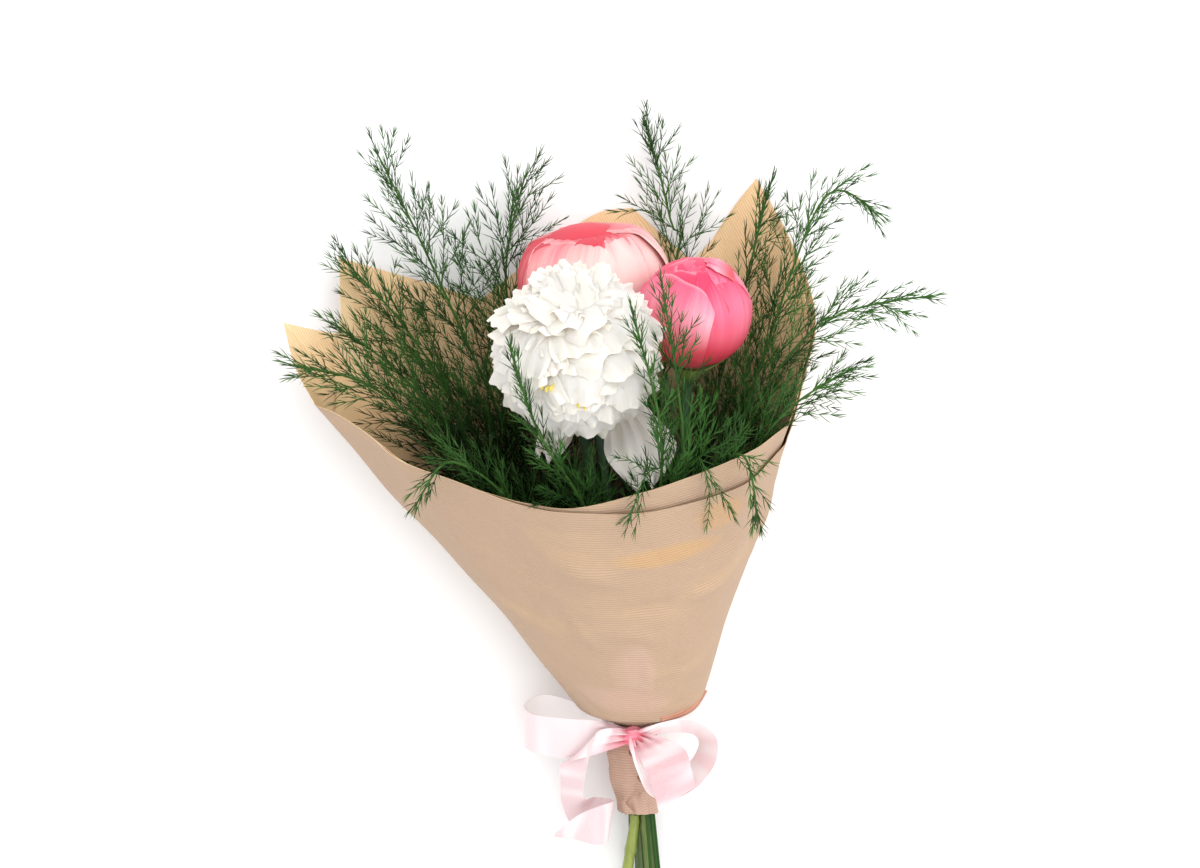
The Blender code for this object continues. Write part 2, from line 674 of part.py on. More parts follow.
def side_direction(along, angle, roll):
    """A direction at an angle off along, turned round it by roll."""
    square = along.orthogonal().normalized()
    square.rotate(Matrix.Rotation(roll, 3, along))
    return along * math.cos(angle) + square * math.sin(angle)


def samples(root, tip):
    """Points on a straight run, about a millimetre apart."""
    count = max(2, int((tip - root).length / 0.001))
    return [root.lerp(tip, i / count) for i in range(count + 1)]


def needled_twig(foot, tip, radius, whorls, trees, draw):
    """A three-sided twig, thinner towards its tip, with whorls of three needles grown out of its
    faces; a needle that would touch another piece is left out."""
    run = tip - foot
    along = run.normalized()
    square = along.orthogonal().normalized()
    twig = bmesh.new()
    places = [0.0]
    for k in range(whorls):
        middle = (k + 0.75) / (whorls + 0.25)
        places += [middle - 0.0010 / run.length, middle + 0.0010 / run.length]
    places.append(1.0)
    rings = []
    for k, place in enumerate(places):
        turn = (k + 1) // 2 * 0.9
        thick = radius * (1.0 - 0.5 * place)
        arms = [square.copy() for _ in range(3)]
        for corner, arm in enumerate(arms):
            arm.rotate(Matrix.Rotation(turn + corner * math.tau / 3, 3, along))
        rings.append([twig.verts.new(foot + run * place + arm * thick) for arm in arms])
    sides = []
    for k, (low, high) in enumerate(zip(rings, rings[1:])):
        for c in range(3):
            d = (c + 1) % 3
            sides.append((k % 2 == 1, twig.faces.new((low[c], low[d], high[d]))))
            twig.faces.new((low[c], high[d], high[c]))
    twig.faces.new(rings[0][::-1])
    end = twig.faces.new(rings[-1])
    grown = [(end, along)]
    for in_whorl, face in sides:
        if in_whorl:
            face.normal_update()
            tilt = math.radians(draw.uniform(*NEEDLE_SLOPE))
            grown.append((face, along * math.cos(tilt) + face.normal * math.sin(tilt)))
    for face, heading in grown:
        root = face.calc_center_median()
        point = root + heading * NEEDLE * draw.uniform(0.85, 1.1)
        if is_clear(samples(root, point), 0.0005, trees):
            spike = bmesh.ops.poke(twig, faces=[face])
            spike["verts"][0].co = point
    mesh = bpy.data.meshes.new("twig")
    twig.to_mesh(mesh)
    twig.free()
    return mesh_object("twig", mesh)


def fern_spray(index, path, trees, finish):
    """One spray: its stem, with needled twigs up the leafy half and at the tip."""
    draw = random.Random(100 + index)
    lengths = run_length(path)
    whole, leafy = lengths[-1], lengths[-1] * 0.50
    ahead = (path[-1] - path[-2]).normalized()
    twigs = [needled_twig(path[-1] - ahead * 0.003, path[-1] + ahead * 0.008, TWIG, 1, trees, draw)]
    for i in range(BRANCHES):
        share = (i + 0.5) / BRANCHES
        foot, along = point_along(path, lengths, leafy + (whole - leafy) * share * 0.97)
        reach = 0.050 * (1 - share) ** 0.7 + 0.014
        for attempt in range(16):
            roll = i * GOLDEN_ANGLE + draw.uniform(-0.3, 0.3) + attempt * 0.9
            heading = side_direction(along, math.radians(draw.uniform(28, 42)), roll)
            tip = foot + heading * reach * (1.0 - 0.04 * attempt)
            if is_clear(samples(foot + heading * 0.003, tip), 0.0008, trees):
                whorls = 2 if reach > 0.032 else 1
                twigs.append(needled_twig(foot, tip, TWIG, whorls, trees, draw))
                break
    return fuse(f"fern_spray_{index + 1:02d}", tube(path, stem_radii(lengths), 0), twigs, finish)


# ---------------------------------------------------------------- ribbon


def strip(turns):
    """A length of ribbon through its turns, each a middle and a half width."""
    middles = smooth_run([turn[0] for turn in turns], 2)
    halves = smooth_run([turn[1] for turn in turns], 2)
    rows = [[Vector(m - h), Vector(m + h)] for m, h in zip(middles, halves)]
    return thicken(grid_surface(rows), RIBBON, 0.0)


def neck_band():
    """The turn of ribbon gathered round the neck."""
    rows = []
    for y in (TIE.y - 0.0007, TIE_END_Y + 0.0012):
        rows.append([ring_point(i * math.tau / 24, y, OUTER_NECK + GAP + RIBBON) for i in range(24)])
    return thicken(grid_surface(rows, closed=True), RIBBON)


def ribbon(finish):
    """The band round the neck with its knot and bow."""
    left_loop = [(middle, LOOP_HALF * share) for middle, share in LEFT_LOOP]
    strips = [strip(turns) for turns in (left_loop, LEFT_TAIL, RIGHT_LOOP, RIGHT_TAIL)]
    knot = ball(KNOT, Matrix.Identity(3), KNOT_SIZES, 10)
    return fuse("satin_ribbon", knot, [neck_band(), *strips], finish)


# ---------------------------------------------------------------- the bunch


def build():
    kraft = material("kraft_paper", (0.60, 0.42, 0.28), 0.75)
    satin = material("pink_satin", (0.93, 0.66, 0.70), 0.35)
    white = material("white_petal", (0.94, 0.90, 0.82), 0.55)
    coral = material("coral_petal", (0.92, 0.42, 0.38), 0.50)
    pink = material("pink_petal", (0.90, 0.22, 0.32), 0.50)
    stem_green = material("peony_stem", (0.28, 0.36, 0.10), 0.50)
    fern_green = material("fern_green", (0.05, 0.13, 0.03), 0.55)

    placed = paper_sheets(kraft)
    placed.append(white_bloom(white))
    placed.append(closed_bloom("coral_peony_petals", CORAL, CORAL_LAYERS, 21, coral))
    placed.append(closed_bloom("pink_peony_petals", PINK, PINK_LAYERS, 31, pink))
    placed.append(peony_stem("white_peony_stem", WHITE, WHITE_STEM, stem_green))
    placed.append(peony_stem("coral_peony_stem", CORAL, CORAL_STEM, stem_green))
    placed.append(peony_stem("pink_peony_stem", PINK, PINK_STEM, stem_green))
    placed.append(ribbon(satin))

    trees = [surface_tree(thing) for thing in placed]
    paths = []
    for index, bends in enumerate(FERN_SPRAYS):
        path = thinned(bent_clear(fern_path(index, bends), FERN_STEM, trees), 0.0007)
        bar = tube(path, stem_radii(run_length(path)), 0)
        trees.append(surface_tree(bar))
        bpy.data.objects.remove(bar)
        paths.append(path)
    first_bar = len(placed)
    for index, path in enumerate(paths):
        others = [tree for i, tree in enumerate(trees) if i != first_bar + index]
        spray = fern_spray(index, path, others, fern_green)
        trees[first_bar + index] = surface_tree(spray)


for old in list(bpy.data.objects):
    bpy.data.objects.remove(old)
BUNCH = bpy.data.collections.new("peony_bunch")
bpy.context.scene.collection.children.link(BUNCH)
build()
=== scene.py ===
"""The looks of a bunch of three cut peonies with asparagus fern, wrapped in kraft paper and tied
with a satin bow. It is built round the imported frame, in metres, with +Y from the cut ends to the
flower heads and +Z up from the table, and seen from straight above. Tables of points are in
millimetres, and metres() turns them into metres.
"""

import math
import random

import bpy
import numpy as np
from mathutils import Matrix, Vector
from mathutils.bvhtree import BVHTree


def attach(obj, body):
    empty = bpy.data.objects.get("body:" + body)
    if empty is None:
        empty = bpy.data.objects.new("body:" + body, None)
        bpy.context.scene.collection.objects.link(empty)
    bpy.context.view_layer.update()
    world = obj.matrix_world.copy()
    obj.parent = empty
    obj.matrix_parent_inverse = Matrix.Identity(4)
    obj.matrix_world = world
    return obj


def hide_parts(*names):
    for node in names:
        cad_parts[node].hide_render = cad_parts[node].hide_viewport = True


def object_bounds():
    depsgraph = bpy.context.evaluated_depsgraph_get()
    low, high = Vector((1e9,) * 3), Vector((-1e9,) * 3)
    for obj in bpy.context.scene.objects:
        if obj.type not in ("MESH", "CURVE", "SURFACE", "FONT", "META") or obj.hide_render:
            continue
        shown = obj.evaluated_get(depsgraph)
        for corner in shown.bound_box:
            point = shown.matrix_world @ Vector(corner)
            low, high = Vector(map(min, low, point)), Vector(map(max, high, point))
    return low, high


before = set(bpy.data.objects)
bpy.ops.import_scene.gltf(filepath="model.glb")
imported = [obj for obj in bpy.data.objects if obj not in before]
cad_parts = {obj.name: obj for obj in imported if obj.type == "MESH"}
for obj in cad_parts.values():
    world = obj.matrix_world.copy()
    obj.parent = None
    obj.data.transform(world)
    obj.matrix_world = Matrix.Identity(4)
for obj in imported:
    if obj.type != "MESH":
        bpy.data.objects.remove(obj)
CAD_BOX = [list(corner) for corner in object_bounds()]

BOX_INSET = 0.0006  # how far the fern keeps inside the low sides of the frame's box
BOX_LOW = np.array(CAD_BOX[0]) + BOX_INSET
BOX_HIGH = np.array(CAD_BOX[1])
GAP = 0.0004  # between a piece and its neighbours
GOLDEN_ANGLE = math.radians(137.508)
SHARP = 40.0  # an edge looks sharp from this angle between its faces

# The camera looks straight down on the bunch.
CAMERA_HEIGHT = 1.5267
LENS = 70.0
STUDIO_LIGHT = 1.12
LAMP_SIZE = 1.8
LAMPS = (("key", (0.55, 0.55, 1.5), 14.0), ("fill", (0.5, -1.0, 1.3), 5.5))  # place and power
FLOOR_HALF, FLOOR_DEPTH = 6.0, -0.0003

# The neck, where the ribbon is tied.
TIE = np.array((0.0224, -0.186, 0.03))
TIE_END_Y = -0.196
INNER_END_Y = -0.201  # the inner sheet's lower end, inside the tail
STEM_DROP = 0.14  # how far the neck's middle sinks, and drifts to the right, for each metre down it
STEM_DRIFT = 0.053
TAIL_Y = -0.2435  # the lower end of the outer sheet's tail
CUT_Y = -0.3  # the cut ends of the stems
PEONY_STEM = 0.0033
FERN_STEM = 0.0011
INNER_RING = 0.0041
FERN_RING = 0.0088
FERN_SLOTS = 15
FERN_CUT_STEP = 0.007  # how much the cut ends of neighbouring sprays differ
BEND_ROUNDS, FEEL = 40, 0.012  # how often a fern stem is bent clear, and how far off it feels

# The two sheets of paper, and how thick they and the petals are.
PAPER = 0.0004
PETAL = 0.0004
CLOSED_PETAL = 0.0005
SEPAL = 0.0006
OUTER_NECK = 0.0122
NECK_INSET = 0.001
CONE_INSET = 0.0018
TAIL_PLEAT = 0.0013  # how far the tail is crumpled in and out
TAIL_FLARE = 0.0075
TAIL_RUN = 0.008  # how far below the ribbon the tail is fully loose
SHOULDER = np.array((0.024, -0.163, 0.03))
SHOULDER_HALF_WIDTH = 0.042
SHOULDER_LEAN = 0.018
SHOULDER_HALF_DEPTH = 0.031
SHOULDER_SQUARE = 0.8

# Fold lines of the cone: the angle round the neck in degrees (0 right, 90 up, 180 left, -90 on the
# table), the end of the line, and the shares of it that the outer and the inner sheet cover.
FOLD_LINES = (
    (-180, (-178, 18, 74), 1, 0.93),
    (-176, (-188, 34, 65), 1, 0.883),
    (-172, (-195, 50, 56), 1, 0.848),
    (-165, (-201, 70.5, 45), 1, 0.825),
    (-157, (-168, 64, 38), 1, 1),
    (-149, (-169.5, 87, 27), 0.92, 1),
    (-137, (-170.5, 114, 14), 0.81, 1),
    (-125, (-126, 102, 6), 0.83, 1),
    (-115, (-102, 95.5, 2), 0.85, 1),
    (-104, (-78.5, 87.6, 0), 0.88, 1),
    (-97, (-10, 140, 0), 0.74, 1),
    (-92, (21, 148, 0), 0.72, 1),
    (-82, (60, 112.5, 0), 0.96, 1),
    (-76, (81.5, 140, 0), 1, 0.985),
    (-70, (102, 166.6, 8), 1, 0.985),
    (-60, (119.5, 132, 20), 1, 0.985),
    (-45, (131.5, 98, 38), 1, 0.985),
    (-30, (135, 65.5, 58), 1, 0.985),
    (-15, (129.5, 40, 75), 0.99, 0.99),
    (-7, (124, 18, 86), 0.965, 1),
    (0, (120, 8, 93.5), 0.943, 1),
    (10, (115.3, 2.7, 109.5), 0.926, 1),
    (30, (93.7, -10, 138.5), 0.889, 1),
    (60, (55, -26, 152), 0.906, 1),
    (75, (22.8, -36.2, 158), 0.932, 1),
    (90, (-15.2, -45.2, 156.3), 0.988, 1),
    (105, (-41.3, -43, 150), 0.995, 1),
    (120, (-77.4, -31.5, 138), 1, 0.985),
    (135, (-119.4, -15.7, 120), 1, 0.975),
    (150, (-140, -1.8, 105), 1, 0.97),
    (165, (-162.8, 12.3, 88), 1, 0.96),
    (180, (-178, 18, 74), 1, 0.93),
)
OUTER_SHARE, INNER_SHARE = 4, 5  # the columns of fold_lines() that hold the shares
ROLLED_EDGE = (
    (65, -161.5, 40),
    (60, -169, 49),
    (52, -174.5, 56),
    (38.5, -178.5, 60),
)
ROLL_RADII = (0.004, 0.0026)
ROLL_ANGLES = (-60, 190)
CORNERS = (-165, -137, -104, -92, -82, -70)
RIB_FRONT = 75.0  # the fold line, in degrees, across which the paper's ribs run square
CONE_POINT = 0.1  # how far below the shoulder the cone of paper would come to a point
CONE_ROWS = 56
CREASE_RISE_ROWS = 16  # rows above the neck over which the creases rise to their full height
TABLE_CLEAR = 0.03  # below this height the paper's creases die out towards the table
INNER_CREASE = 1.15  # how many times as deep the inner sheet's creases are
INNER_CLEAR = 0.0002  # and how much further in they lie
# The paper's gentle waves: height, turn for each metre of x and of y on the flat sheet, and start.
CREASE_WAVES = ((0.001, 31, 17, 0.0), (0.0008, -23, 47, 1.3), (0.0005, 88, 40, 0.4))
# Creases of the paper, on the flat sheet: x and y of both ends, height and width.
CREASES = (
    (-60, 88, -22, 94, 3.3, 7.6),
    (-22, 94, 22, 88, -2.6, 7.6),
    (-10, 66, 30, 74, 2.8, 8),
    (14, 110, 52, 124, 3, 8.5),
    (4, 50, 10, 20, 2.7, 6.8),
    (-20, 55, -8, 22, -2.4, 5.9),
    (-70, 120, -35, 108, 2.7, 8.5),
    (30, 60, 46, 85, 2.7, 5.9),
    (-110, 130, -85, 90, 2.7, 10.2),
)
RIB_DEPTH = 0.00012
CREASE_DEPTH = 0.004
# Where light comes through a fold or off the ribbon: middle and half sizes on the flat sheet, colour.
GLOWS = (
    ((-11, 228.5), (40, 8.5), (0.6, 0.36, 0.16)),
    ((-52, 246), (17, 11), (0.58, 0.36, 0.18)),
    ((12, 143), (13, 24), (0.56, 0.38, 0.29)),
    ((20, 116), (34, 12), (0.57, 0.38, 0.29)),
    ((0, -170), (200, 115), (0.58, 0.37, 0.29)),
)
# The paper's three looks: name, colour, colour of its ribs and of its warm patches, glows, and its
# painted shade deep in the cone, if it has one. The inside's colour is painted brighter and warmer
# as light coming through the paper, and the rolled edge's darker orange-brown is painted shade in
# the roll.
KRAFTS = (
    ("kraft_outside", (0.485, 0.338, 0.232), (0.33, 0.21, 0.135), (0.56, 0.385, 0.235), GLOWS),
    ("kraft_inside_painted_light_and_shade", (0.96, 0.69, 0.4), (0.66, 0.4, 0.18), (0.99, 0.8, 0.5), (), (0.05, 0.025, 0.012)),
    ("kraft_rolled_painted_shade", (0.56, 0.27, 0.18), (0.28, 0.11, 0.07), (0.62, 0.33, 0.2)),
)
SHADE_FROM, SHADE_TO = 0.11, 0.22  # how far up the cone the painted shade on its inside fades from deep brown to kraft

# The blooms: middle, axis towards the top of the flower, and half sizes across, across and along.
WHITE = (np.array((-0.0142, 0.049, 0.128)), (-0.05, 0.62, 0.78), np.array((0.0545, 0.053, 0.051)))
CORAL = (np.array((-0.0051, 0.098, 0.05)), (0.03, 0.94, 0.3), np.array((0.048, 0.039, 0.04)))
CORAL_TOP = (0.7, -0.22, 0.45)  # where its top flattens, that height's slope to the left, and how much
PINK = (np.array((0.0585, 0.0745, 0.09)), (0.08, 0.9, 0.42), np.array((0.035, 0.0345, 0.035)))

WHITE_CORE, CLOSED_CORE = 0.8, 0.9  # the solid core of a head, as a share of its size
WHITE_PETALS = 165  # all over the white head
LONG_PETALS = 28  # at its back
SKIRT_PETALS, SKIRT_POLAR = 12, 2.15  # the ring low on it, and how far off its top
PETAL_ROOT = 0.66  # how far out from the middle a petal starts
STAMENS = ((1.38, 90), (1.12, 68))  # where a few stand: off the top, and round it in degrees
STAMENS_TOGETHER = 5
# The petals that hang down in front, each turn a middle and a half width.
HANGING_PETALS = (
    (
        ((2, 37, 101), (7, 3, -2)),
        ((17, 8, 100), (15, 5, -2)),
        ((25, -10, 114), (21, 5, 2)),
        ((29, -30, 126), (9, 3, 1)),
    ),
    (
        ((-16, 32, 101), (5, -2, 1)),
        ((-26, 2, 99), (10, -2, 1)),
        ((-33, -14, 106), (7, -2, 1)),
    ),
)
# The closed heads' petals, from inside out: angle round the head, half width, top, reach, tone, and
# where they differ from most, the slope of the tone and the bottom.
CORAL_PETALS = (
    (95, 0.9, 0.22, 0.925, 0.66),
    (50, 0.6, 0.3, 0.932, 0.6),
    (120, 0.4, 0.42, 0.938, 0.95),
    (78, 0.42, 0.54, 0.944, 0.62),
    (106, 0.24, 0.3, 0.966, 1.05, 0.0, 1.6),
    (66, 0.26, 0.4, 0.972, 0.7, 0.0, 1.6),
    (128, 0.22, 0.44, 0.98, 0.66, 0.0, 1.6),
    (88, 0.2, 0.46, 0.986, 1.1, 0.0, 1.6),
    (40, 0.24, 0.44, 0.978, 0.55, 0.0, 1.6),
    (330, 0.8, -0.06, 0.94, 1.0),
    (300, 0.5, -0.42, 0.948, 0.9),
    (345, 0.5, -0.3, 0.956, 0.7),
    (262, 0.5, -0.26, 1.03, 0.62),
    (250, 0.7, -0.1, 0.978, 0.72),
    (215, 0.6, -0.02, 1.01, 0.4),
    (300, 0.65, 0.12, 0.995, 0.7),
    (250, 0.85, 0.3, 0.99, 0.4),
    (196, 0.55, 0.36, 1.045, 0.22),
    (8, 0.8, 0.62, 0.985, 0.92, 0.25),
    (182, 0.75, 0.66, 0.968, 0.35),
    (138, 0.84, 0.5, 0.988, 0.1, -0.06),
    (68, 0.62, 0.66, 1.006, 0.26, 0.34),
)
PINK_PETALS = (
    (90, 0.9, 0.2, 0.915, 1.1),
    (30, 0.7, 0.26, 0.93, 0.9),
    (150, 0.7, 0.3, 0.93, 1.1),
    (330, 0.8, -0.1, 0.938, 0.6),
    (280, 0.6, -0.34, 0.946, 0.95),
    (245, 0.5, -0.4, 0.952, 0.5),
    (200, 0.6, -0.26, 0.958, 0.9),
    (300, 0.85, 0.3, 0.985, 0.7),
    (235, 0.85, 0.2, 0.995, 0.4),
    (120, 0.62, 0.26, 0.962, 0.7),
    (72, 0.62, 0.36, 0.968, 0.98),
    (104, 0.22, 0.3, 0.978, 1.1, 0.0, 1.6),
    (140, 0.24, 0.24, 0.984, 0.6, 0.0, 1.6),
    (176, 0.3, 0.1, 1.01, 0.35, 0.0, 0.8),
    (2, 0.8, 0.42, 0.974, 0.66, 0.2),
    (188, 0.75, 0.4, 0.978, 0.8, -0.25),
    # The slopes of the petals at 134 and 52 degrees paint a highlight, paler, at the right edge of the
    # one at 52, and painted shade, hotter, at the left of the one at 134, along the seam between them.
    (134, 0.98, 0.52, 0.988, 0.6, 0.1),
    (52, 0.9, 0.62, 1.022, 0.4, 0.12),
)
# Their colours: pale, middle, hot and the foot's, and how far up the foot's reaches.
CORAL_COLOURS = ((0.9, 0.62, 0.58), (0.87, 0.3, 0.32), (0.66, 0.035, 0.065), (0.84, 0.36, 0.27), 0.52)
PINK_COLOURS = ((0.9, 0.42, 0.5), (0.86, 0.16, 0.27), (0.76, 0.035, 0.12), (0.7, 0.045, 0.07), 0.7)

# The peony stems: name, bloom, angle in the bundle, how much further out its cut end stands, the
# points that it bends through, and its tone.
PEONY_STEMS = (
    ("white_peony_stem", WHITE, 145, 4.0, ((10, -110, 47),), 0.0),
    ("coral_peony_stem", CORAL, 264, 1.4, ((13, -110, 24), (2, -20, 26)), 0.75),
    ("pink_peony_stem", PINK, 24, 1.4, ((35, -110, 41), (51, -30, 52)), 0.45),
)
JOINT_AT, JOINT_SWELL, JOINT_LENGTH = 0.034, 0.0007, 0.0025  # the ring on a stem near its cut end
CALYX = 0.011  # the length of a stem's cup, and the radius it starts from and how much it opens
CALYX_RADIUS, CALYX_OPENS = 0.0032, 0.006
SEPALS = (3.6, 4.7, 5.8)  # the angles round the head at which they grow

# The fern sprays, in order round the neck from the right over the top: bends and tip.
FERN_SPRAYS = (
    ((57, -99, 40), (90, 2, 72), (132, 71, 95), (199, 84, 100)),
    ((56, -98, 62), (94, -8, 103), (122, 22, 120), (150, 38, 116)),
    ((50, -103, 72), (73, -30, 126), (84, -10, 150), (90, -28, 156),
     (93, -52, 146)),
    ((41, -110, 70), (52, -34, 126), (46, 28, 150), (37, 85, 155)),
    ((31, -117, 62), (36, -39, 130), (36, 8, 160), (19, 68, 182)),
    ((19, -117, 62), (-10, -39, 126), (-36, -3, 158), (-52, 50, 176)),
    ((10, -117, 60), (-50, -44, 116), (-84, -16, 138), (-96, -20, 145),
     (-108, -40, 142)),
    ((0, -131, 45), (-81, -29, 78), (-136, 30, 84), (-188, 42, 88)),
    ((0, -132, 35), (-76, -23, 55), (-126, 40, 58), (-165, 67, 62)),
    ((0, -133, 25), (-71, -17, 30), (-122, 67, 30), (-163, 110, 36)),
    ((6, -133, 18), (-58, -4, 16), (-109, 112, 30), (-141, 177, 42)),
    ((13, -134, 12), (-36, 22, 8), (-65, 93, 14), (-48, 166, 30)),
    ((26, -134, 10), (36, 22, 7), (53, 107, 11), (29, 202, 26)),
    ((39, -133, 14), (74, 22, 18), (96, 105, 26), (107, 155, 38)),
    ((45, -133, 22), (95, 21, 46), (123, 112, 70), (144, 156, 82),
     (172, 134, 88)),
)
# The side branches that hang over the paper's rim: which spray, in that order from 0, and their way.
DRAPES = (
    (3, ((52, -20, 133), (58, -14, 146), (62, -22, 154.5), (64.5, -34, 149),
         (64.8, -44, 141.5), (64, -53, 135.5))),
    (4, ((36, -20, 143), (29, -22, 156), (23, -32, 163.5), (20, -42, 162),
         (17.5, -50, 157.5), (15.5, -56, 154.5))),
)
LEAFY_FROM = 0.4  # the share of a spray's stem below its first side branch
BRANCHES = 38
BRANCH_TRIES = 10  # how often a side branch that would touch something is turned and tried again
TRY_TURN, TRY_SHRINK = 0.8, 0.06
BRANCH_REACH, TIP_REACH = 0.062, 0.01
BRANCH_ANGLE, TWIG_ANGLE = (25, 44), (26, 40)  # off what they grow from, in degrees
BRANCH_THICK, TWIG_THICK = 0.00042, 0.0003  # half of it
DRAPE_THICK = (0.00045, 0.0002)
SPREADS = (1.0, 1.0, 0.55, 0.8, 0.42, 0.45, 0.55, 1.0, 1.0, 1.1, 1.3, 1.4, 1.1, 1.0, 1.0)
BARE_FROM = 0.62  # the share of a spray's leafy part from which its own spread holds
BRANCH_RANGE, TWIG_RANGE, NEEDLE_RANGE = (0.75, 1.1), (0.4, 0.65), (0.75, 1.15)  # shares of length
TWIG_FROM, TWIG_SPAN = 0.12, 0.75  # where along a branch twigs start, and how far on they go
TWIG_LEAST = 0.009
TWIG_STEP = 0.0125
TWIG_BEND = 0.1
NEEDLE = 0.0122
NEEDLE_THICK = 0.00029  # half of it
NEEDLE_TILT = (18, 32)
TIP_TILT = (3, 14)
WHORL_STEP, STEP_RANGE = 0.0063, (0.75, 1.25)
THREES = 0.45  # the share of whorls with three needles, not two
SHADE_Y, SHADE_Z = 0.028, 0.135  # painted shade darkens the needles further down the cone and lower than these,
SHADE_RUN_Y, SHADE_RUN_Z = 0.035, 0.05  # over these distances

# The ribbon: its knot, and the turns of the bow's strips as (middle, half width). The left loop's
# half width is a share of LOOP_HALF, in millimetres.
RIBBON_WIDTH = 0.027
RIBBON = 0.0003
KNOT = (21, -191.4, 46.9)
KNOT_SIZES = np.array((0.0078, 0.006, 0.0049))
KNOT_PULL, KNOT_PAINTED_SHADE, KNOT_PAINTED_LIGHT = 0.016, 0.028, 0.02  # how far off it gathers, takes painted shade (pinker) and turns pale with painted light
BAND_LIFT, BAND_FOLD = 0.0005, 0.0006  # how far the turn round the neck stands off, and its folds
# The satin's front and back: name, roughness, colour, colour near the knot, deeper there as painted
# shade in the gathers, and pale colour, as painted light. The back's paler colour is partly painted
# light.
SATINS = (
    ("satin_front", 0.28, (0.64, 0.37, 0.4), (0.94, 0.25, 0.34), (0.82, 0.7, 0.71)),
    ("satin_back_painted_light", 0.45, (0.97, 0.9, 0.9), (0.94, 0.32, 0.41), (0.97, 0.95, 0.95)),
)
LOOP_HALF = np.array((0.0, 12.69, 4.59))
LEFT_LOOP = (
    (KNOT, 0.22),
    ((3, -188, 52), 0.5),
    ((-19, -192, 53), 1.0),
    ((-42, -190, 46), 1.0),
    ((-48, -185, 33), 1.0),
    ((-35, -180, 22.5), 1.0),
    ((-10, -183.5, 27), 0.72),
    ((4, -188, 39), 0.4),
    (KNOT, 0.22),
)
LEFT_TAIL = (
    (KNOT, (0, 3, 1)),
    ((6, -192.5, 58), (3, 7.5, 1)),
    ((-9, -196.5, 59), (7, 9, 2)),
    ((-16, -206, 52), (9.5, 4, 8)),
    ((-17.8, -220, 42), (7.5, 0, 11.5)),
    ((-17, -235, 33), (7.5, 3, 10.5)),
    ((-10, -244, 25), (6, 11, 5)),
    ((2, -247, 26), (1, 13, 1)),
    ((7, -247.5, 35), (2, 13, 0)),
    ((-2, -249, 43), (1, 12.5, 2)),
    ((-15, -250.5, 41), (1, 8, 2)),
    ((-29, -256, 35), (0.6, 1.6, 0.8)),
)
RIGHT_LOOP = (
    (KNOT, (0, 2.5, 1)),
    ((40, -185.5, 53), (0, 4.5, 8.5)),
    ((58, -185, 52), (1, 5.5, 12)),
    ((68, -193, 48), (5, 3, 12)),
    ((67, -206, 44), (6, -1, 12)),
    ((58, -218, 44), (4, -4, 12)),
    ((45, -226, 50), (0, -4, 10)),
    ((34, -223, 54), (-3, -3, 9)),
    ((27, -211, 55), (-3.5, -0.5, 9)),
    ((22, -198, 53), (-3, 0, 5)),
    (KNOT, (-3, 0, 0.6)),
)
RIGHT_TAIL = (
    (KNOT, (1, 2.5, 1)),
    ((31, -194.5, 59), (9, 3.5, 2)),
    ((40, -202, 67), (13, 5, 1)),
    ((45, -215, 70), (12, 6, 0)),
    ((48, -228, 67), (11.5, 7.4, 0)),
)


# ---- stage


def camera_and_light():
    scene = bpy.context.scene
    scene.view_settings.view_transform = "Standard"
    view = bpy.data.objects.new("camera", bpy.data.cameras.new("camera"))
    view.location = (0.0, 0.0, CAMERA_HEIGHT)
    view.data.lens = LENS
    scene.collection.objects.link(view)
    scene.camera = view

    world = bpy.data.worlds.new("studio")
    world.use_nodes = True
    background = world.node_tree.nodes["Background"]
    background.inputs["Color"].default_value = (1.0, 1.0, 1.0, 1.0)
    background.inputs["Strength"].default_value = STUDIO_LIGHT
    scene.world = world
    for name, place, power in LAMPS:
        lamp = bpy.data.objects.new(name, bpy.data.lights.new(name, "AREA"))
        lamp.data.size = LAMP_SIZE
        lamp.data.energy = power
        lamp.location = place
        lamp.rotation_euler = (-Vector(place)).to_track_quat("-Z", "Y").to_euler()
        scene.collection.objects.link(lamp)


def floor():
    mesh = bpy.data.meshes.new("floor")
    near, far = -FLOOR_HALF, FLOOR_HALF
    corners = [(x, y, FLOOR_DEPTH) for x, y in ((near, near), (far, near), (far, far), (near, far))]
    mesh.from_pydata(corners, [], [(0, 1, 2, 3)])
    ground = bpy.data.objects.new("floor", mesh)
    bpy.context.scene.collection.objects.link(ground)
    mesh.materials.append(Look("pale_floor", 0.9, Base_Color=(0.95, 0.95, 0.95, 1)).made)


# ---- materials


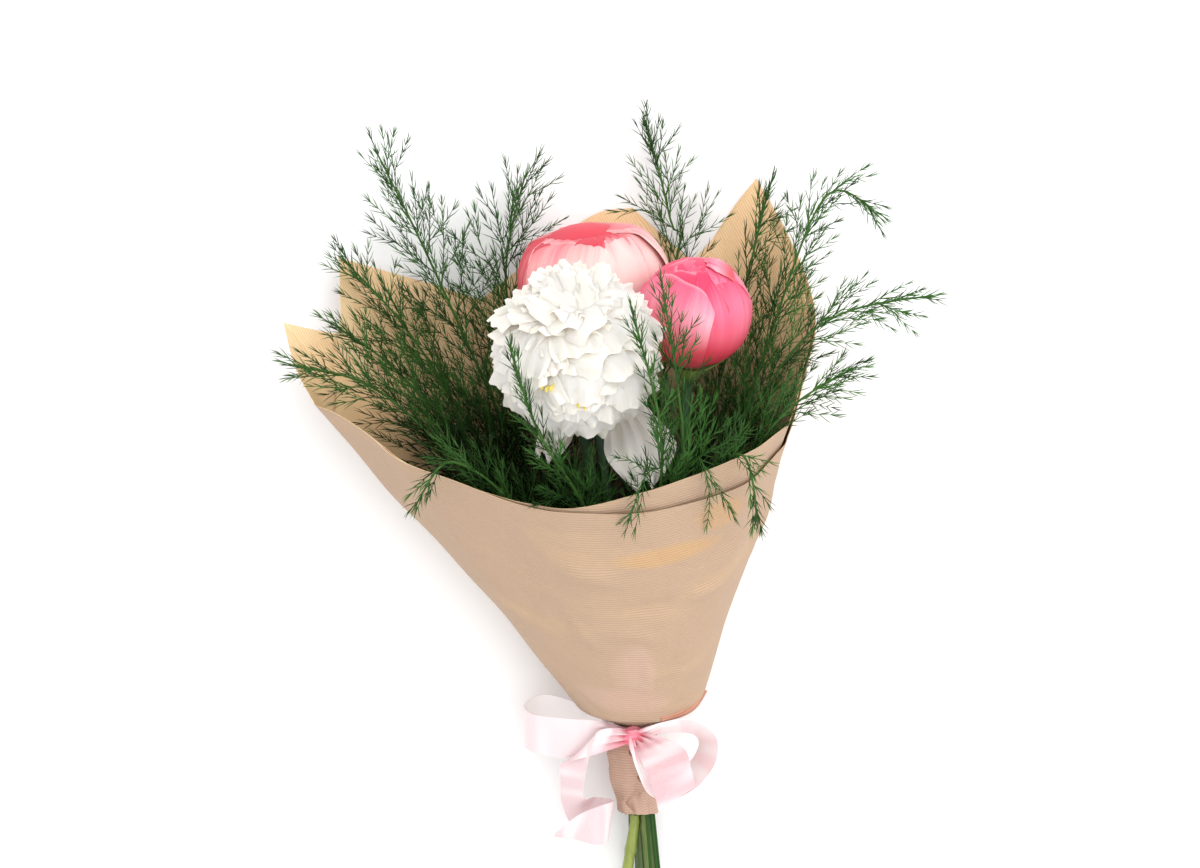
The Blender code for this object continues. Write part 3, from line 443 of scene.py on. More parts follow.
class Look:
    """A material in the making: its shader, the vector that its piece holds at each point, and short
    ways to add nodes. Settings are constant values of the shader's sockets."""

    def __init__(self, name, roughness, attribute="finish", **settings):
        self.made = bpy.data.materials.new(name)
        self.made.use_nodes = True
        self.tree = self.made.node_tree
        self.shader = self.tree.nodes["Principled BSDF"]
        self.shader.inputs["Roughness"].default_value = roughness
        for socket, value in settings.items():
            self.shader.inputs[socket.replace("_", " ")].default_value = value
        self.vector = self.node("Attribute", attribute_name=attribute).outputs["Vector"]
        self.x, self.y, self.z = self.node("SeparateXYZ", {0: self.vector}).outputs

    def node(self, kind, sockets=None, **settings):
        """A new node, with its settings and the values or links of its sockets."""
        made = self.tree.nodes.new("ShaderNode" + kind)
        for key, value in settings.items():
            setattr(made, key, value)
        for socket, value in (sockets or {}).items():
            if isinstance(value, bpy.types.NodeSocket):
                self.tree.links.new(value, made.inputs[socket])
            else:
                made.inputs[socket].default_value = value
        return made

    def math(self, operation, a, b=0.0):
        return self.node("Math", {0: a, 1: b}, operation=operation).outputs[0]

    def summed(self, first, *others):
        for other in others:
            first = self.math("ADD", first, other)
        return first

    def noise(self, scales, detail=3.0, roughness=0.55):
        """Noise with its own scale along each axis of the vector."""
        place = self.node("Mapping", {"Vector": self.vector, "Scale": scales}).outputs[0]
        sockets = {"Vector": place, "Scale": 1.0, "Detail": detail, "Roughness": roughness}
        return self.node("TexNoise", sockets).outputs["Fac"]

    def ranged(self, value, low, high, new_low=0.0, new_high=1.0):
        sockets = {0: value, 1: low, 2: high, 3: new_low, 4: new_high}
        return self.node("MapRange", sockets, clamp=True).outputs[0]

    def colour(self, base, *layers):
        """Colours the shader, with others laid over the first in turn, each a (value, low, high,
        colour) that covers from nothing at low to all at high, or between two shares that follow."""
        colour = (*base, 1.0)
        for value, low, high, over, *shares in layers:
            sockets = {0: self.ranged(value, low, high, *shares), 6: colour, 7: (*over, 1.0)}
            colour = self.node("Mix", sockets, data_type="RGBA").outputs[2]
        self.tree.links.new(colour, self.shader.inputs["Base Color"])

    def bump(self, height, distance, strength=1.0):
        bump = self.node("Bump", {"Height": height, "Distance": distance, "Strength": strength})
        self.tree.links.new(bump.outputs[0], self.shader.inputs["Normal"])


def kraft(name, base, shade, warm, glows=(), deep=None):
    """Ribbed kraft paper: fine ribs, fibres, warm patches and soft creases, laid on the flat sheet,
    with painted light in its glows and painted shade deep in the cone where that is given.
    """
    look = Look(name, 0.7, "flat")
    ribs = look.node(
        "TexWave",
        {"Vector": look.vector, "Scale": 185.0, "Distortion": 0.6, "Detail": 1.0, "Detail Scale": 0.3},
        bands_direction="Y",
    ).outputs["Fac"]
    fibres = look.noise((260.0, 1600.0, 1.0), 4.0, 0.7)
    patches = look.noise((11.0, 34.0, 1.0))
    folds = look.noise((26.0, 34.0, 1.0), 1.5, 0.45)
    layers = [(patches, 0.52, 0.72, warm)]
    # painted light where it comes through a fold or off the ribbon
    for middle, halves, glow in glows:
        sockets = {"Vector": look.vector, "Location": (*metres(middle), 0)}
        sockets["Scale"] = (*metres(halves), 100)
        place = look.node("Mapping", sockets, vector_type="TEXTURE").outputs[0]
        away = look.node("VectorMath", {0: place}, operation="LENGTH").outputs["Value"]
        away = look.summed(away, look.math("MULTIPLY", patches, 0.5))
        layers.append((away, 1.25, 0.85, glow, 0.0, 0.8))
    layers += [(fibres, 0.35, 0.75, shade, 0.0, 0.35), (ribs, 0.45, 1.0, shade, 0.0, 0.55)]
    # painted shade: the inside turns deep brown low in the cone
    if deep:
        layers.append((look.z, SHADE_FROM, SHADE_TO, deep, 1.0, 0.0))
    look.colour(base, *layers)
    crease = look.math("ABSOLUTE", look.math("SUBTRACT", folds, 0.5))
    height = look.math("MULTIPLY", crease, CREASE_DEPTH / RIB_DEPTH)
    look.bump(look.summed(height, look.math("MULTIPLY", fibres, 0.35), ribs), RIB_DEPTH)
    return look.made


def petal_look(name, roughness, weight, scale, radius):
    """The look of a petal, which lets some light through. Its vector is (across from -1 to 1, up from
    0 to 1, tone)."""
    return Look(
        name, roughness, Subsurface_Weight=weight, Subsurface_Scale=scale, Subsurface_Radius=radius
    )


def petal_material(name, pale, mid, hot, foot, foot_to):
    """A petal in three shades, from pale at tone 0 to hot at tone 1, with fine veins up it, a hot rim,
    side edges paler as a painted highlight, and a foot colour that reaches up to foot_to."""
    look = petal_look(name, 0.46, 0.12, 0.004, (1.0, 0.45, 0.35))
    veins = look.noise((34.0, 1.3, 9.0), 4.0, 0.65)
    streaks = look.noise((3.0, 0.7, 9.0), 2.0)
    strength = look.summed(
        look.z,
        look.ranged(veins, 0.35, 0.68, -0.09, 0.09),
        look.ranged(streaks, 0.35, 0.65, -0.12, 0.12),
        look.ranged(look.y, 0.76, 1.0, 0.0, 0.34),
        # painted highlight: paler towards the side edges
        look.ranged(look.math("ABSOLUTE", look.x), 0.55, 1.0, 0.0, -0.22),
    )
    look.colour(
        pale,
        (strength, 0.05, 0.5, mid),
        (strength, 0.5, 0.95, hot),
        (look.y, foot_to, foot_to - 0.36, foot, 0.0, 0.9),
        (look.y, 0.965, 1.0, pale, 0.0, 0.6),
    )
    look.bump(veins, 0.00022, 0.6)
    return look.made


def white_petal_material():
    """A white petal with soft veins, cream towards its foot; a tone over 1.5 is a yellow stamen."""
    look = petal_look("white_petal", 0.55, 0.5, 0.006, (1.0, 0.9, 0.7))
    veins = look.noise((9.0, 1.2, 9.0))
    look.colour(
        (0.95, 0.895, 0.8),
        (veins, 0.42, 0.72, (0.92, 0.835, 0.66), 0.0, 0.55),
        (look.y, 0.45, 0.05, (0.88, 0.73, 0.38)),
        (look.z, 0.8, 1.0, (0.93, 0.87, 0.68), 0.0, 0.5),
        (look.z, 1.5, 2.0, (0.8, 0.62, 0.1)),
    )
    look.bump(veins, 0.0003, 0.7)
    return look.made


def fern_material():
    """Needles from dark to mid green, lighter at their tips, and nearly black deep in the bunch as
    painted shade. The vector is (painted shade depth in the bunch, up the needle, tone)."""
    look = Look("fern_green", 0.6, Specular_IOR_Level=0.12)
    look.colour(
        (0.013, 0.04, 0.009),
        (look.z, 0.0, 1.0, (0.056, 0.16, 0.032)),
        (look.y, 0.5, 1.0, (0.085, 0.19, 0.038), 0.0, 0.45),
        # painted shade: nearly black deep in the bunch
        (look.x, 0.0, 1.0, (0.004, 0.011, 0.003)),
    )
    return look.made


def stem_material(name, base, light, dark):
    """A smooth stem with faint ridges along it, dark at tone 1, which the stems take inside the paper
    as painted shade.
    """
    look = Look(name, 0.42)
    ridges = look.noise((9.0, 14.0, 1.0))
    look.colour(base, (ridges, 0.35, 0.65, light), (look.z, 0.0, 1.0, dark))
    look.bump(ridges, 0.0004, 0.5)
    return look.made


def satin_material(name, roughness, base, knot, pale):
    """Satin: a fine weave and painted highlights across the ribbon, stronger in colour near the knot as
    painted shade, where its tone is 1, and paler below tone 0 as painted light."""
    look = Look(name, roughness, Sheen_Weight=0.1, Sheen_Roughness=0.4)
    threads = look.noise((260.0, 1600.0, 1.0), 2.0)
    painted_gleams = look.noise((14.0, 62.0, 0.2), 1.0, 0.4)
    look.colour(
        base,
        # painted shade near the knot where tone is 1, painted light below tone 0
        (look.z, 0.0, 1.0, knot),
        (look.z, 0.0, -1.0, pale),
        # painted highlights across the ribbon
        (painted_gleams, 0.46, 0.6, pale, 0.0, 0.85),
        (threads, 0.4, 0.7, pale, 0.0, 0.2),
    )
    look.bump(threads, 0.00004, 0.5)
    return look.made


# ---- meshes


def unit(vectors):
    return vectors / np.maximum(np.linalg.norm(vectors, axis=-1, keepdims=True), 1e-12)


def metres(points):
    """Points given in millimetres."""
    return np.array(points, float) / 1000


def joined(first, second, third):
    """Three numbers, or arrays of them, as one array of vectors."""
    return np.stack(np.broadcast_arrays(first, second, third), -1)


def across_and_up(columns, rows):
    """The places across a petal, from -1 to 1, and up it, from 0 to 1."""
    return np.linspace(-1, 1, columns)[None, :], np.linspace(0, 1, rows)[:, None]


def turns_round(count):
    """Angles evenly round a circle."""
    return np.arange(count) * math.tau / count


def rays(polar, azimuth):
    """Unit steps at angles from the top of a ball and round it."""
    return joined(np.sin(polar) * np.cos(azimuth), np.sin(polar) * np.sin(azimuth), np.cos(polar))


def round_grid(rows, columns, pole):
    """The angles down a ball from pole to pole, and round it."""
    polar = np.linspace(pole, math.pi - pole, rows)[:, None]
    return polar, turns_round(columns)[None, :]


def tangents(path):
    """The direction of a path at each of its points."""
    return unit(np.gradient(path, axis=0))


def smooth_run(points, steps):
    """Points on a smooth curve through the given ones, steps of them to a stretch."""
    rows = np.array(points, float)
    rows = np.vstack((2 * rows[0] - rows[1], rows, 2 * rows[-1] - rows[-2]))
    found = []
    for a, b, c, d in zip(rows, rows[1:], rows[2:], rows[3:]):
        slope, bend, twist = (c - a) / 2, a - 2.5 * b + 2 * c - 0.5 * d, (3 * b - a - 3 * c + d) / 2
        for step in range(steps):
            t = step / steps
            found.append(b + slope * t + bend * t**2 + twist * t**3)
    return np.array([*found, rows[-2]])


class Pile:
    """The points and faces of a piece in the making, with a finish vector at each point."""

    def __init__(self):
        self.points = []
        self.finish = []
        self.faces = []
        self.count = 0

    def add(self, points, finish, faces, slot=0):
        """Adds points, their finish, and (n, 3) or (n, 4) arrays of faces between them."""
        points = np.asarray(points, float).reshape(-1, 3)
        self.points.append(points)
        self.finish.append(np.broadcast_to(finish, points.shape))
        for group in faces:
            self.faces.append((np.asarray(group) + self.count, slot))
        self.count += len(points)

    def build(self, name, materials, slot, cad, attribute="finish"):
        """The piece's mesh, in place of the frame's node cad; slot is not used."""
        mesh = bpy.data.meshes.new(name)
        points = np.concatenate(self.points)
        corners = np.concatenate([group.ravel() for group, _ in self.faces])
        sizes = np.concatenate([np.full(len(group), group.shape[1]) for group, _ in self.faces])
        slots = np.concatenate([np.full(len(group), slot) for group, slot in self.faces])
        mesh.vertices.add(len(points))
        mesh.vertices.foreach_set("co", points.ravel())
        mesh.loops.add(len(corners))
        mesh.polygons.add(len(sizes))
        mesh.polygons.foreach_set("loop_start", np.cumsum(sizes) - sizes)
        mesh.polygons.foreach_set("vertices", corners)
        mesh.polygons.foreach_set("material_index", slots)
        mesh.update(calc_edges=True)
        values = mesh.attributes.new(attribute, "FLOAT_VECTOR", "POINT")
        values.data.foreach_set("vector", np.concatenate(self.finish).ravel())
        mesh.shade_smooth()
        mesh.set_sharp_from_angle(angle=math.radians(SHARP))
        for material in materials:
            mesh.materials.append(material)
        made = bpy.data.objects.new(name, mesh)
        bpy.context.scene.collection.objects.link(made)
        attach(made, "root")
        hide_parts(cad)
        return made


def quads(rows, columns, closed):
    """Faces of a grid of points, row by row; closed joins each row's ends."""
    index = np.arange(rows * columns).reshape(rows, columns)
    right = np.roll(index, -1, axis=1)
    if not closed:
        index, right = index[:, :-1], right[:, :-1]
    return np.stack((index[:-1], right[:-1], right[1:], index[1:]), -1).reshape(-1, 4)


def grid_normals(grid, closed):
    if closed:
        across = np.roll(grid, -1, axis=1) - np.roll(grid, 1, axis=1)
    else:
        across = np.gradient(grid, axis=1)
    return unit(np.cross(across, np.gradient(grid, axis=0)))


def blade(pile, grid, finish, thickness, closed=False, slots=(0, 0)):
    """A thin closed sheet round a grid of points, with its front face's slot and its back face's."""
    rows, columns = grid.shape[:2]
    normals = grid_normals(grid, closed)
    faces = quads(rows, columns, closed)
    pile.add(grid + normals * thickness / 2, finish.reshape(-1, 3), [faces], slots[0])
    pile.add(grid - normals * thickness / 2, finish.reshape(-1, 3), [faces[:, ::-1]], slots[1])
    index = np.arange(rows * columns).reshape(rows, columns) - 2 * rows * columns
    edges = [index[0], index[-1][::-1]]
    if closed:
        edges = [np.append(edge, edge[0]) for edge in edges]
    else:
        edges += [index[:, 0][::-1], index[:, -1]]
    behind = rows * columns
    for edge in edges:
        rim = np.stack((edge[1:], edge[:-1], edge[:-1] + behind, edge[1:] + behind), -1)
        pile.faces.append((rim + pile.count, slots[0]))


def tube(pile, path, radii, sides, finish):
    """A closed round bar along a path; finish is (a scale round it, a scale along it, the tone)."""
    path = np.asarray(path, float)
    along = tangents(path)
    square = np.cross(along[0], (0.3, 0.2, 0.9))
    rings = []
    angles = turns_round(sides)
    for place, ahead, radius in zip(path, along, radii):
        square = unit(square - ahead * square.dot(ahead))
        other = np.cross(ahead, square)
        arms = np.outer(np.cos(angles), square) + np.outer(np.sin(angles), other)
        rings.append(place + radius * arms)
    values = joined(angles / math.tau * finish[0], run_lengths(path)[:, None] * finish[1], finish[2])
    first = pile.count
    pile.add(rings, values.reshape(-1, 3), [quads(len(path), sides, True)])
    for ring, turn in ((0, -1), (len(path) - 1, 1)):
        rim = np.arange(sides) + first + ring * sides - pile.count
        cap = joined(rim, np.roll(rim, -1), 0)
        pile.add(path[ring], values[ring, 0], [cap[:, ::turn]])


def run_lengths(path):
    """The distance along a path at each of its points."""
    steps = np.linalg.norm(np.diff(path, axis=0), axis=1)
    return np.concatenate(((0.0,), np.cumsum(steps)))


# ---- paper


def fold_lines(steps):
    """The fold lines at fine steps: (angle, end x, y, z, outer share, inner share) rows."""
    rows = [np.array((angle, *metres(end), outer, inner)) for angle, end, outer, inner in FOLD_LINES]
    turns = [0, *(i for i, row in enumerate(rows) if row[0] in CORNERS), len(rows) - 1]
    lines = [smooth_run(rows[a : b + 1], steps)[:-1] for a, b in zip(turns, turns[1:])]
    return np.concatenate(lines)


def pleat(angle, y):
    """How far the crumpled tail of the paper stands in or out, least at the ribbon, and on the left
    how far it flares below the ribbon."""
    loose = min(1.0, max(0.0, (TIE_END_Y - y) / TAIL_RUN))
    wave = 0.55 * math.sin(7 * angle + 60 * y) + 0.35 * math.sin(12 * angle - 150 * y + 1.0)
    flare = TAIL_FLARE * loose * max(0.0, -math.cos(angle)) ** 2 * (y - TAIL_Y) / (TIE_END_Y - TAIL_Y)
    return TAIL_PLEAT * loose * (wave + 0.25 * math.sin(260 * y + 3 * angle)) + flare


def neck_middle(y):
    below = TIE[1] - y
    return np.array((TIE[0] + STEM_DRIFT * below, y, TIE[2] - STEM_DROP * below))


def spoke(angle):
    """A unit step outwards from the neck's middle."""
    return np.array((math.cos(angle), 0.0, math.sin(angle)))


def ring_point(angle, y, radius):
    """A point on the round tube of paper below the shoulder."""
    return neck_middle(y) + spoke(angle) * radius


def squared(share):
    """A sine or cosine made fuller, which squares a round."""
    return math.copysign(abs(share) ** SHOULDER_SQUARE, share)


def shoulder_point(angle):
    """Where the cone opens out above the tie; its back lies on the table."""
    rise = squared(math.sin(angle))
    width = SHOULDER_HALF_WIDTH * squared(math.cos(angle))
    height = max(0.0, SHOULDER[2] + SHOULDER_HALF_DEPTH * rise)
    return np.array((SHOULDER[0] + width, SHOULDER[1] - SHOULDER_LEAN * rise, height))


def paper_grid(share_column, neck_rows, inset):
    """A sheet's points, row by row from the neck up to the rim, and where they lie on the flat
    sheet; neck_rows are the heights of its rows below the shoulder."""
    lines = fold_lines(8)
    angles = np.radians(lines[:, 0])
    shoulder = np.array([shoulder_point(a) for a in angles])
    reaches = lines[:, 1:4] - shoulder
    directions = unit(reaches)
    turns = np.arccos(np.clip((directions * np.roll(directions, 1, axis=0)).sum(1), -1, 1))
    turns[0] = 0.0
    unrolled = np.cumsum(turns)
    unrolled -= unrolled[np.argmin(abs(lines[:, 0] - RIB_FRONT))]
    fan = joined(np.sin(unrolled), np.cos(unrolled), 0.0)

    grid, flat = [], []
    for y in neck_rows:
        grid.append([ring_point(a, y, OUTER_NECK + pleat(a, y)) for a in angles])
        flat.append(fan * CONE_POINT + np.array((0.0, y, 0.0)))
    for i in range(CONE_ROWS + 1):
        share = i / CONE_ROWS * lines[:, share_column]
        out = np.linalg.norm(reaches, axis=1) * share
        grid.append(shoulder + reaches * share[:, None])
        flat.append(fan * (CONE_POINT + out)[:, None] + joined(0.0, 0.0, out))
    grid, flat = np.array(grid), np.array(flat)
    outward = -grid_normals(grid, True)
    neck = len(neck_rows)
    heights = creases(flat) * np.clip((np.arange(len(grid)) - neck) / CREASE_RISE_ROWS, 0, 1)[:, None]
    if inset:
        grid[:neck] -= outward[:neck] * NECK_INSET
        grid[neck:] -= outward[neck:] * inset
        heights = np.minimum(heights, 0.0) * INNER_CREASE - INNER_CLEAR
    raised = np.clip(grid[..., 2] / TABLE_CLEAR, 0, 1)
    grid += outward * (heights * raised)[..., None]
    grid[..., 2] = np.maximum(grid[..., 2], inset * 0.5)
    return grid, flat


def creases(flat):
    """How far the handled paper stands off its cone at each place on the flat sheet."""
    x, y = flat[..., 0], flat[..., 1] - CONE_POINT
    total = sum(height * np.sin(a * x + b * y + c) for height, a, b, c in CREASE_WAVES)
    for start_x, start_y, end_x, end_y, height, width in metres(CREASES):
        run_x, run_y = end_x - start_x, end_y - start_y
        along = ((x - start_x) * run_x + (y - start_y) * run_y) / (run_x**2 + run_y**2)
        along = np.clip(along, 0, 1)
        away = np.hypot(x - start_x - along * run_x, y - start_y - along * run_y)
        swell = np.sin(math.pi * np.clip(along, 0.1, 0.9))
        total += height * np.clip(1 - away / width, 0, 1) * swell
    return total


def rolled_edge(pile):
    """The cone's lower right edge, rolled so that its inside shows, in a darker orange-brown that is
    painted shade in the roll.
    """
    run = smooth_run(metres(ROLLED_EDGE), 6)
    out = unit(np.cross(tangents(run), (0.0, 0.0, 1.0)))
    turn = np.radians(np.linspace(*ROLL_ANGLES, 12))[None, :, None]
    radius = np.linspace(*ROLL_RADII, len(run))[:, None, None]
    wound = out[:, None] * np.cos(turn) + np.array((0.0, 0.0, 1.0)) * np.sin(turn)
    flat = joined(run_lengths(run)[:, None], np.linspace(0, 0.012, 12), 0.4 * SHADE_FROM + 0.6 * SHADE_TO)
    blade(pile, run[:, None] + radius * wound, flat, PAPER, slots=(2, 2))


def tail_overlap(pile):
    """Where the paper laps over itself on the tail, with a crumpled free edge."""
    y = np.linspace(TIE_END_Y - 0.0015, TAIL_Y + 0.001, 24)
    share = np.linspace(0, 1, 16)
    free = 82 + 14 * np.sin(150 * y) + 12 * np.sin(400 * y + 1.0) - 520 * (y - TIE_END_Y)
    angles = np.radians(free[:, None] + (235 - free[:, None]) * share)
    lift = 0.0008 + 0.0022 * np.exp(-share / 0.12)
    rows = [
        [ring_point(a, place, OUTER_NECK + pleat(a, place) + up) for a, up in zip(row, lift)]
        for row, place in zip(angles, y)
    ]
    blade(pile, np.array(rows), joined(angles * OUTER_NECK, y[:, None], 0.0), PAPER)


def papers():
    looks = [kraft(*paper) for paper in KRAFTS]
    pile = Pile()
    neck = (*np.linspace(TAIL_Y, TIE_END_Y, 22), TIE[1])
    blade(pile, *paper_grid(OUTER_SHARE, neck, 0.0), PAPER, closed=True, slots=(1, 0))
    rolled_edge(pile)
    tail_overlap(pile)
    pile.build("kraft_sheet_outer", looks, "kraft_paper", "paper_outer_sheet", "flat")
    pile = Pile()
    neck = (INNER_END_Y, TIE_END_Y, TIE[1])
    blade(pile, *paper_grid(INNER_SHARE, neck, CONE_INSET), PAPER, closed=True, slots=(1, 0))
    pile.build("kraft_sheet_inner", looks[:2], "kraft_paper", "paper_inner_sheet", "flat")


# ---- peonies


def bloom_frame(bloom):
    return np.array(Vector(bloom[1]).to_track_quat("Z", "Y").to_matrix())


def bloom_points(bloom, polar, azimuth, sideways, reach):
    """Points at reach half sizes from a bloom's middle, in directions given by the angle from its
    top, the angle round it, and an angle sideways off that line."""
    polar, azimuth, sideways, reach = np.broadcast_arrays(polar, azimuth, sideways, reach)
    side = joined(-np.sin(azimuth), np.cos(azimuth), 0.0)
    ray = rays(polar, azimuth) * np.cos(sideways)[..., None] + side * np.sin(sideways)[..., None]
    place = ray * reach[..., None]
    if bloom is CORAL:
        height = place[..., 2]
        limit = CORAL_TOP[0] + CORAL_TOP[1] * place[..., 0]
        place[..., 2] = np.where(height > limit, limit + CORAL_TOP[2] * (height - limit), height)
    return bloom[0] + (place * bloom[2]) @ bloom_frame(bloom).T


def ruffled_petal(pile, polar, azimuth, half_width, lean, reach, draw):
    """A narrow petal that stands out of the white head, cupped and turned its own way, with a
    frilled and notched tip; lean is how far it lies over."""
    side, up = across_and_up(12, 9)
    phase, turn = draw.uniform(0.0, math.tau), draw.gauss(0.0, 0.42)
    cup, curl = draw.uniform(-0.08, 0.04), draw.uniform(-0.05, 0.12)
    frill, waves = draw.uniform(0.012, 0.034), draw.uniform(4.0, 9.0)
    across = half_width * np.sin(math.pi * (0.16 + 0.52 * up)) * side
    over = lean * (1 - up) ** 1.2 + curl * up**3 + math.copysign(cup, lean) * side**2 * up
    over = over + frill * up**2 * np.sin(waves * side + phase)
    notches = 0.026 * np.cos(waves * 1.6 * side + 2 * phase) + 0.09 * side**2
    notches = notches + 0.04 * np.sin(3 * side + phase)
    height = PETAL_ROOT + (reach - PETAL_ROOT) * up**0.7 - notches * up**3
    along = math.sin(turn) * across + math.cos(turn) * over
    sideways = math.cos(turn) * across - math.sin(turn) * over
    grid = bloom_points(WHITE, polar + along, azimuth, sideways, np.minimum(height, 1.08))
    blade(pile, grid[::-1], joined(side, up, draw.random())[::-1], PETAL)


def hanging_petal(pile, turns, draw):
    """A petal that hangs down in front of the white head through its turns."""
    middles, halves = (smooth_run(metres(points), 8) for points in zip(*turns))
    side, up = across_and_up(27, len(middles))
    phase = draw.uniform(0.0, math.tau)
    grid = middles[:, None] + halves[:, None] * side[..., None]
    lift = 0.004 * (1 - side**2) + 0.0026 * np.sin(8.0 * side + 4.0 * up + phase) * (0.3 + 0.7 * up)
    lift = lift + 0.0045 * np.abs(side) ** 3 * np.sin(13 * up + 3 * side + phase) * up
    lift = lift + 0.005 * up**4 * np.sin(7 * side + phase) + 0.0012 * np.sin(17 * side + 3 * up)
    grid[..., 2] += lift
    grid[..., 1] += up**4 * (0.003 * np.cos(6 * side + phase) + 0.001 * np.cos(15 * side))
    blade(pile, grid, joined(side, 0.45 + 0.55 * up, 0.3), PETAL)


def ball(pile, bloom, size, finish):
    """The core of a bloom, a closed ellipsoid of a share of its size."""
    rows, columns = 16, 24
    polar, around = round_grid(rows, columns, 0.001)
    grid = bloom[0] + (rays(polar, around) * (bloom[2] * size)) @ bloom_frame(bloom).T
    pile.add(grid, finish, [quads(rows, columns, True)[:, ::-1]])


def white_bloom():
    """The full double head: shaggy petals all over, longer ones at its back, guards and stamens."""
    draw = random.Random(11)
    pile = Pile()
    ball(pile, WHITE, WHITE_CORE, (0.0, 0.35, 0.5))
    for i in range(WHITE_PETALS):
        polar = math.acos(1 - 1.66 * (i + 0.5) / WHITE_PETALS) + draw.uniform(-0.06, 0.14)
        half_width, lean = draw.uniform(0.18, 0.4), draw.uniform(-0.95, -0.45)
        reach = draw.uniform(0.85, 0.98)
        ruffled_petal(pile, polar, i * GOLDEN_ANGLE, half_width, lean, reach, draw)
    for i in range(SKIRT_PETALS):
        azimuth = i * math.tau / SKIRT_PETALS + 0.3
        ruffled_petal(pile, SKIRT_POLAR, azimuth, 0.42, -0.6, 0.99, draw)
    for i in range(LONG_PETALS):
        polar, azimuth = draw.uniform(0.25, 1.0), math.radians(draw.uniform(230, 365))
        half_width, reach = draw.uniform(0.13, 0.24), draw.uniform(0.95, 1.08)
        ruffled_petal(pile, polar, azimuth, half_width, -0.6, reach, draw)
    for turns in HANGING_PETALS:
        hanging_petal(pile, turns, draw)
    for polar, azimuth in STAMENS:
        stamens(pile, polar, math.radians(azimuth), draw)
    pile.build("white_bloom", [white_petal_material()], "white_petal", "white_peony_petals")


def stamens(pile, polar, azimuth, draw):
    """A few short yellow stamens that show between the petals."""
    for _ in range(STAMENS_TOGETHER):
        angle, turn = polar + draw.uniform(-0.07, 0.07), azimuth + draw.uniform(-0.08, 0.08)
        path = bloom_points(WHITE, angle, turn, 0.0, np.linspace(0.84, draw.uniform(0.97, 1.0), 5))
        tube(pile, path, (0.0004, 0.0004, 0.0004, 0.0009, 0.0006), 6, (0.0, 0.0, 2.0))


def cupped_petal(pile, draw, bloom, degrees, half_width, top, reach, tone, slope=0.0, bottom=2.75):
    """A broad blunt petal wrapped round a closed head, its edge lightly waved, between the angles
    bottom and top off the head's top; slope is how much hotter its left side is than its middle."""
    side, up = across_and_up(25, 26)
    phase, sway = draw.uniform(0.0, math.tau), draw.uniform(-0.05, 0.05)
    above = np.clip((up - 0.62) / 0.38, 0, 1)
    shape = np.where(up > 0.62, np.sqrt(1 - 0.36 * above**4), 1 - 0.45 * (1 - up / 0.62) ** 2)
    across = half_width * shape * side
    droop = 0.04 * side**2 + 0.16 * side**8 + 0.014 * np.sin(8 * side + phase)
    angle = bottom + (top - bottom) * up + droop * up**6
    angle = angle + 0.02 * up**3 * np.sin(4 * side + phase)
    height = reach * (0.955 + 0.045 * np.minimum(1.0, 3 * up))
    height = height + 0.3 * (reach - 0.95) * np.abs(side) ** 7
    height = height + 0.005 * up**2 * np.sin(3.5 * side * math.pi + phase)
    height = height + 0.003 * np.sin(5 * up + phase)
    height = height - 0.03 * np.clip(up - 0.94, 0, 1) / 0.06
    grid = bloom_points(bloom, angle, math.radians(degrees) + sway * up, across, height)
    blade(pile, grid, joined(side, up, tone - slope * side), CLOSED_PETAL)


def closed_bloom(name, bloom, petals, seed, *colours):
    """A head that is still closed, with its petals from inside out, as cupped_petal takes them."""
    draw = random.Random(seed)
    pile = Pile()
    ball(pile, bloom, CLOSED_CORE, (0.0, 0.9, 1.0))
    for petal in petals:
        cupped_petal(pile, draw, bloom, *petal)
    look = petal_material(name + "_petal", *colours)
    pile.build(name + "_bloom", [look], name + "_petal", name + "_peony_petals")


def blooms():
    white_bloom()
    closed_bloom("coral", CORAL, CORAL_PETALS, 21, *CORAL_COLOURS)
    closed_bloom("pink", PINK, PINK_PETALS, 31, *PINK_COLOURS)


# ---- stems


def peony_stem_path(bloom, slot, splay, bends):
    """The stem's path from its cut end to the calyx, and the calyx's two ends, as the frame has it."""
    axis = unit(np.array(bloom[1], float))
    seat = bloom[0] - axis * (bloom[2][2] + GAP)
    cup_bottom = seat - axis * CALYX
    shift = spoke(math.radians(slot)) * INNER_RING
    cut_end = neck_middle(CUT_Y) + np.array((splay * shift[0], 0.0, 1.3 * shift[2]))
    tail = neck_middle(TAIL_Y - 0.006) + shift
    way = [TIE + shift, *metres(bends), cup_bottom - axis * 0.012, cup_bottom + axis * 0.004]
    return np.vstack((np.linspace(cut_end, tail, 12), smooth_run(way, 12))), seat, cup_bottom


def sepal(pile, bloom, azimuth):
    side, up = across_and_up(9, 10)
    width = (0.2 * np.sqrt(1 - up**2) + 0.02) * side
    bottom = math.pi - 0.0062 / bloom[2][0]
    grid = bloom_points(bloom, bottom - 0.8 * up, azimuth, width, 1.05 + 0.01 * side**2)
    blade(pile, grid, joined(side, up, 0.2), SEPAL)


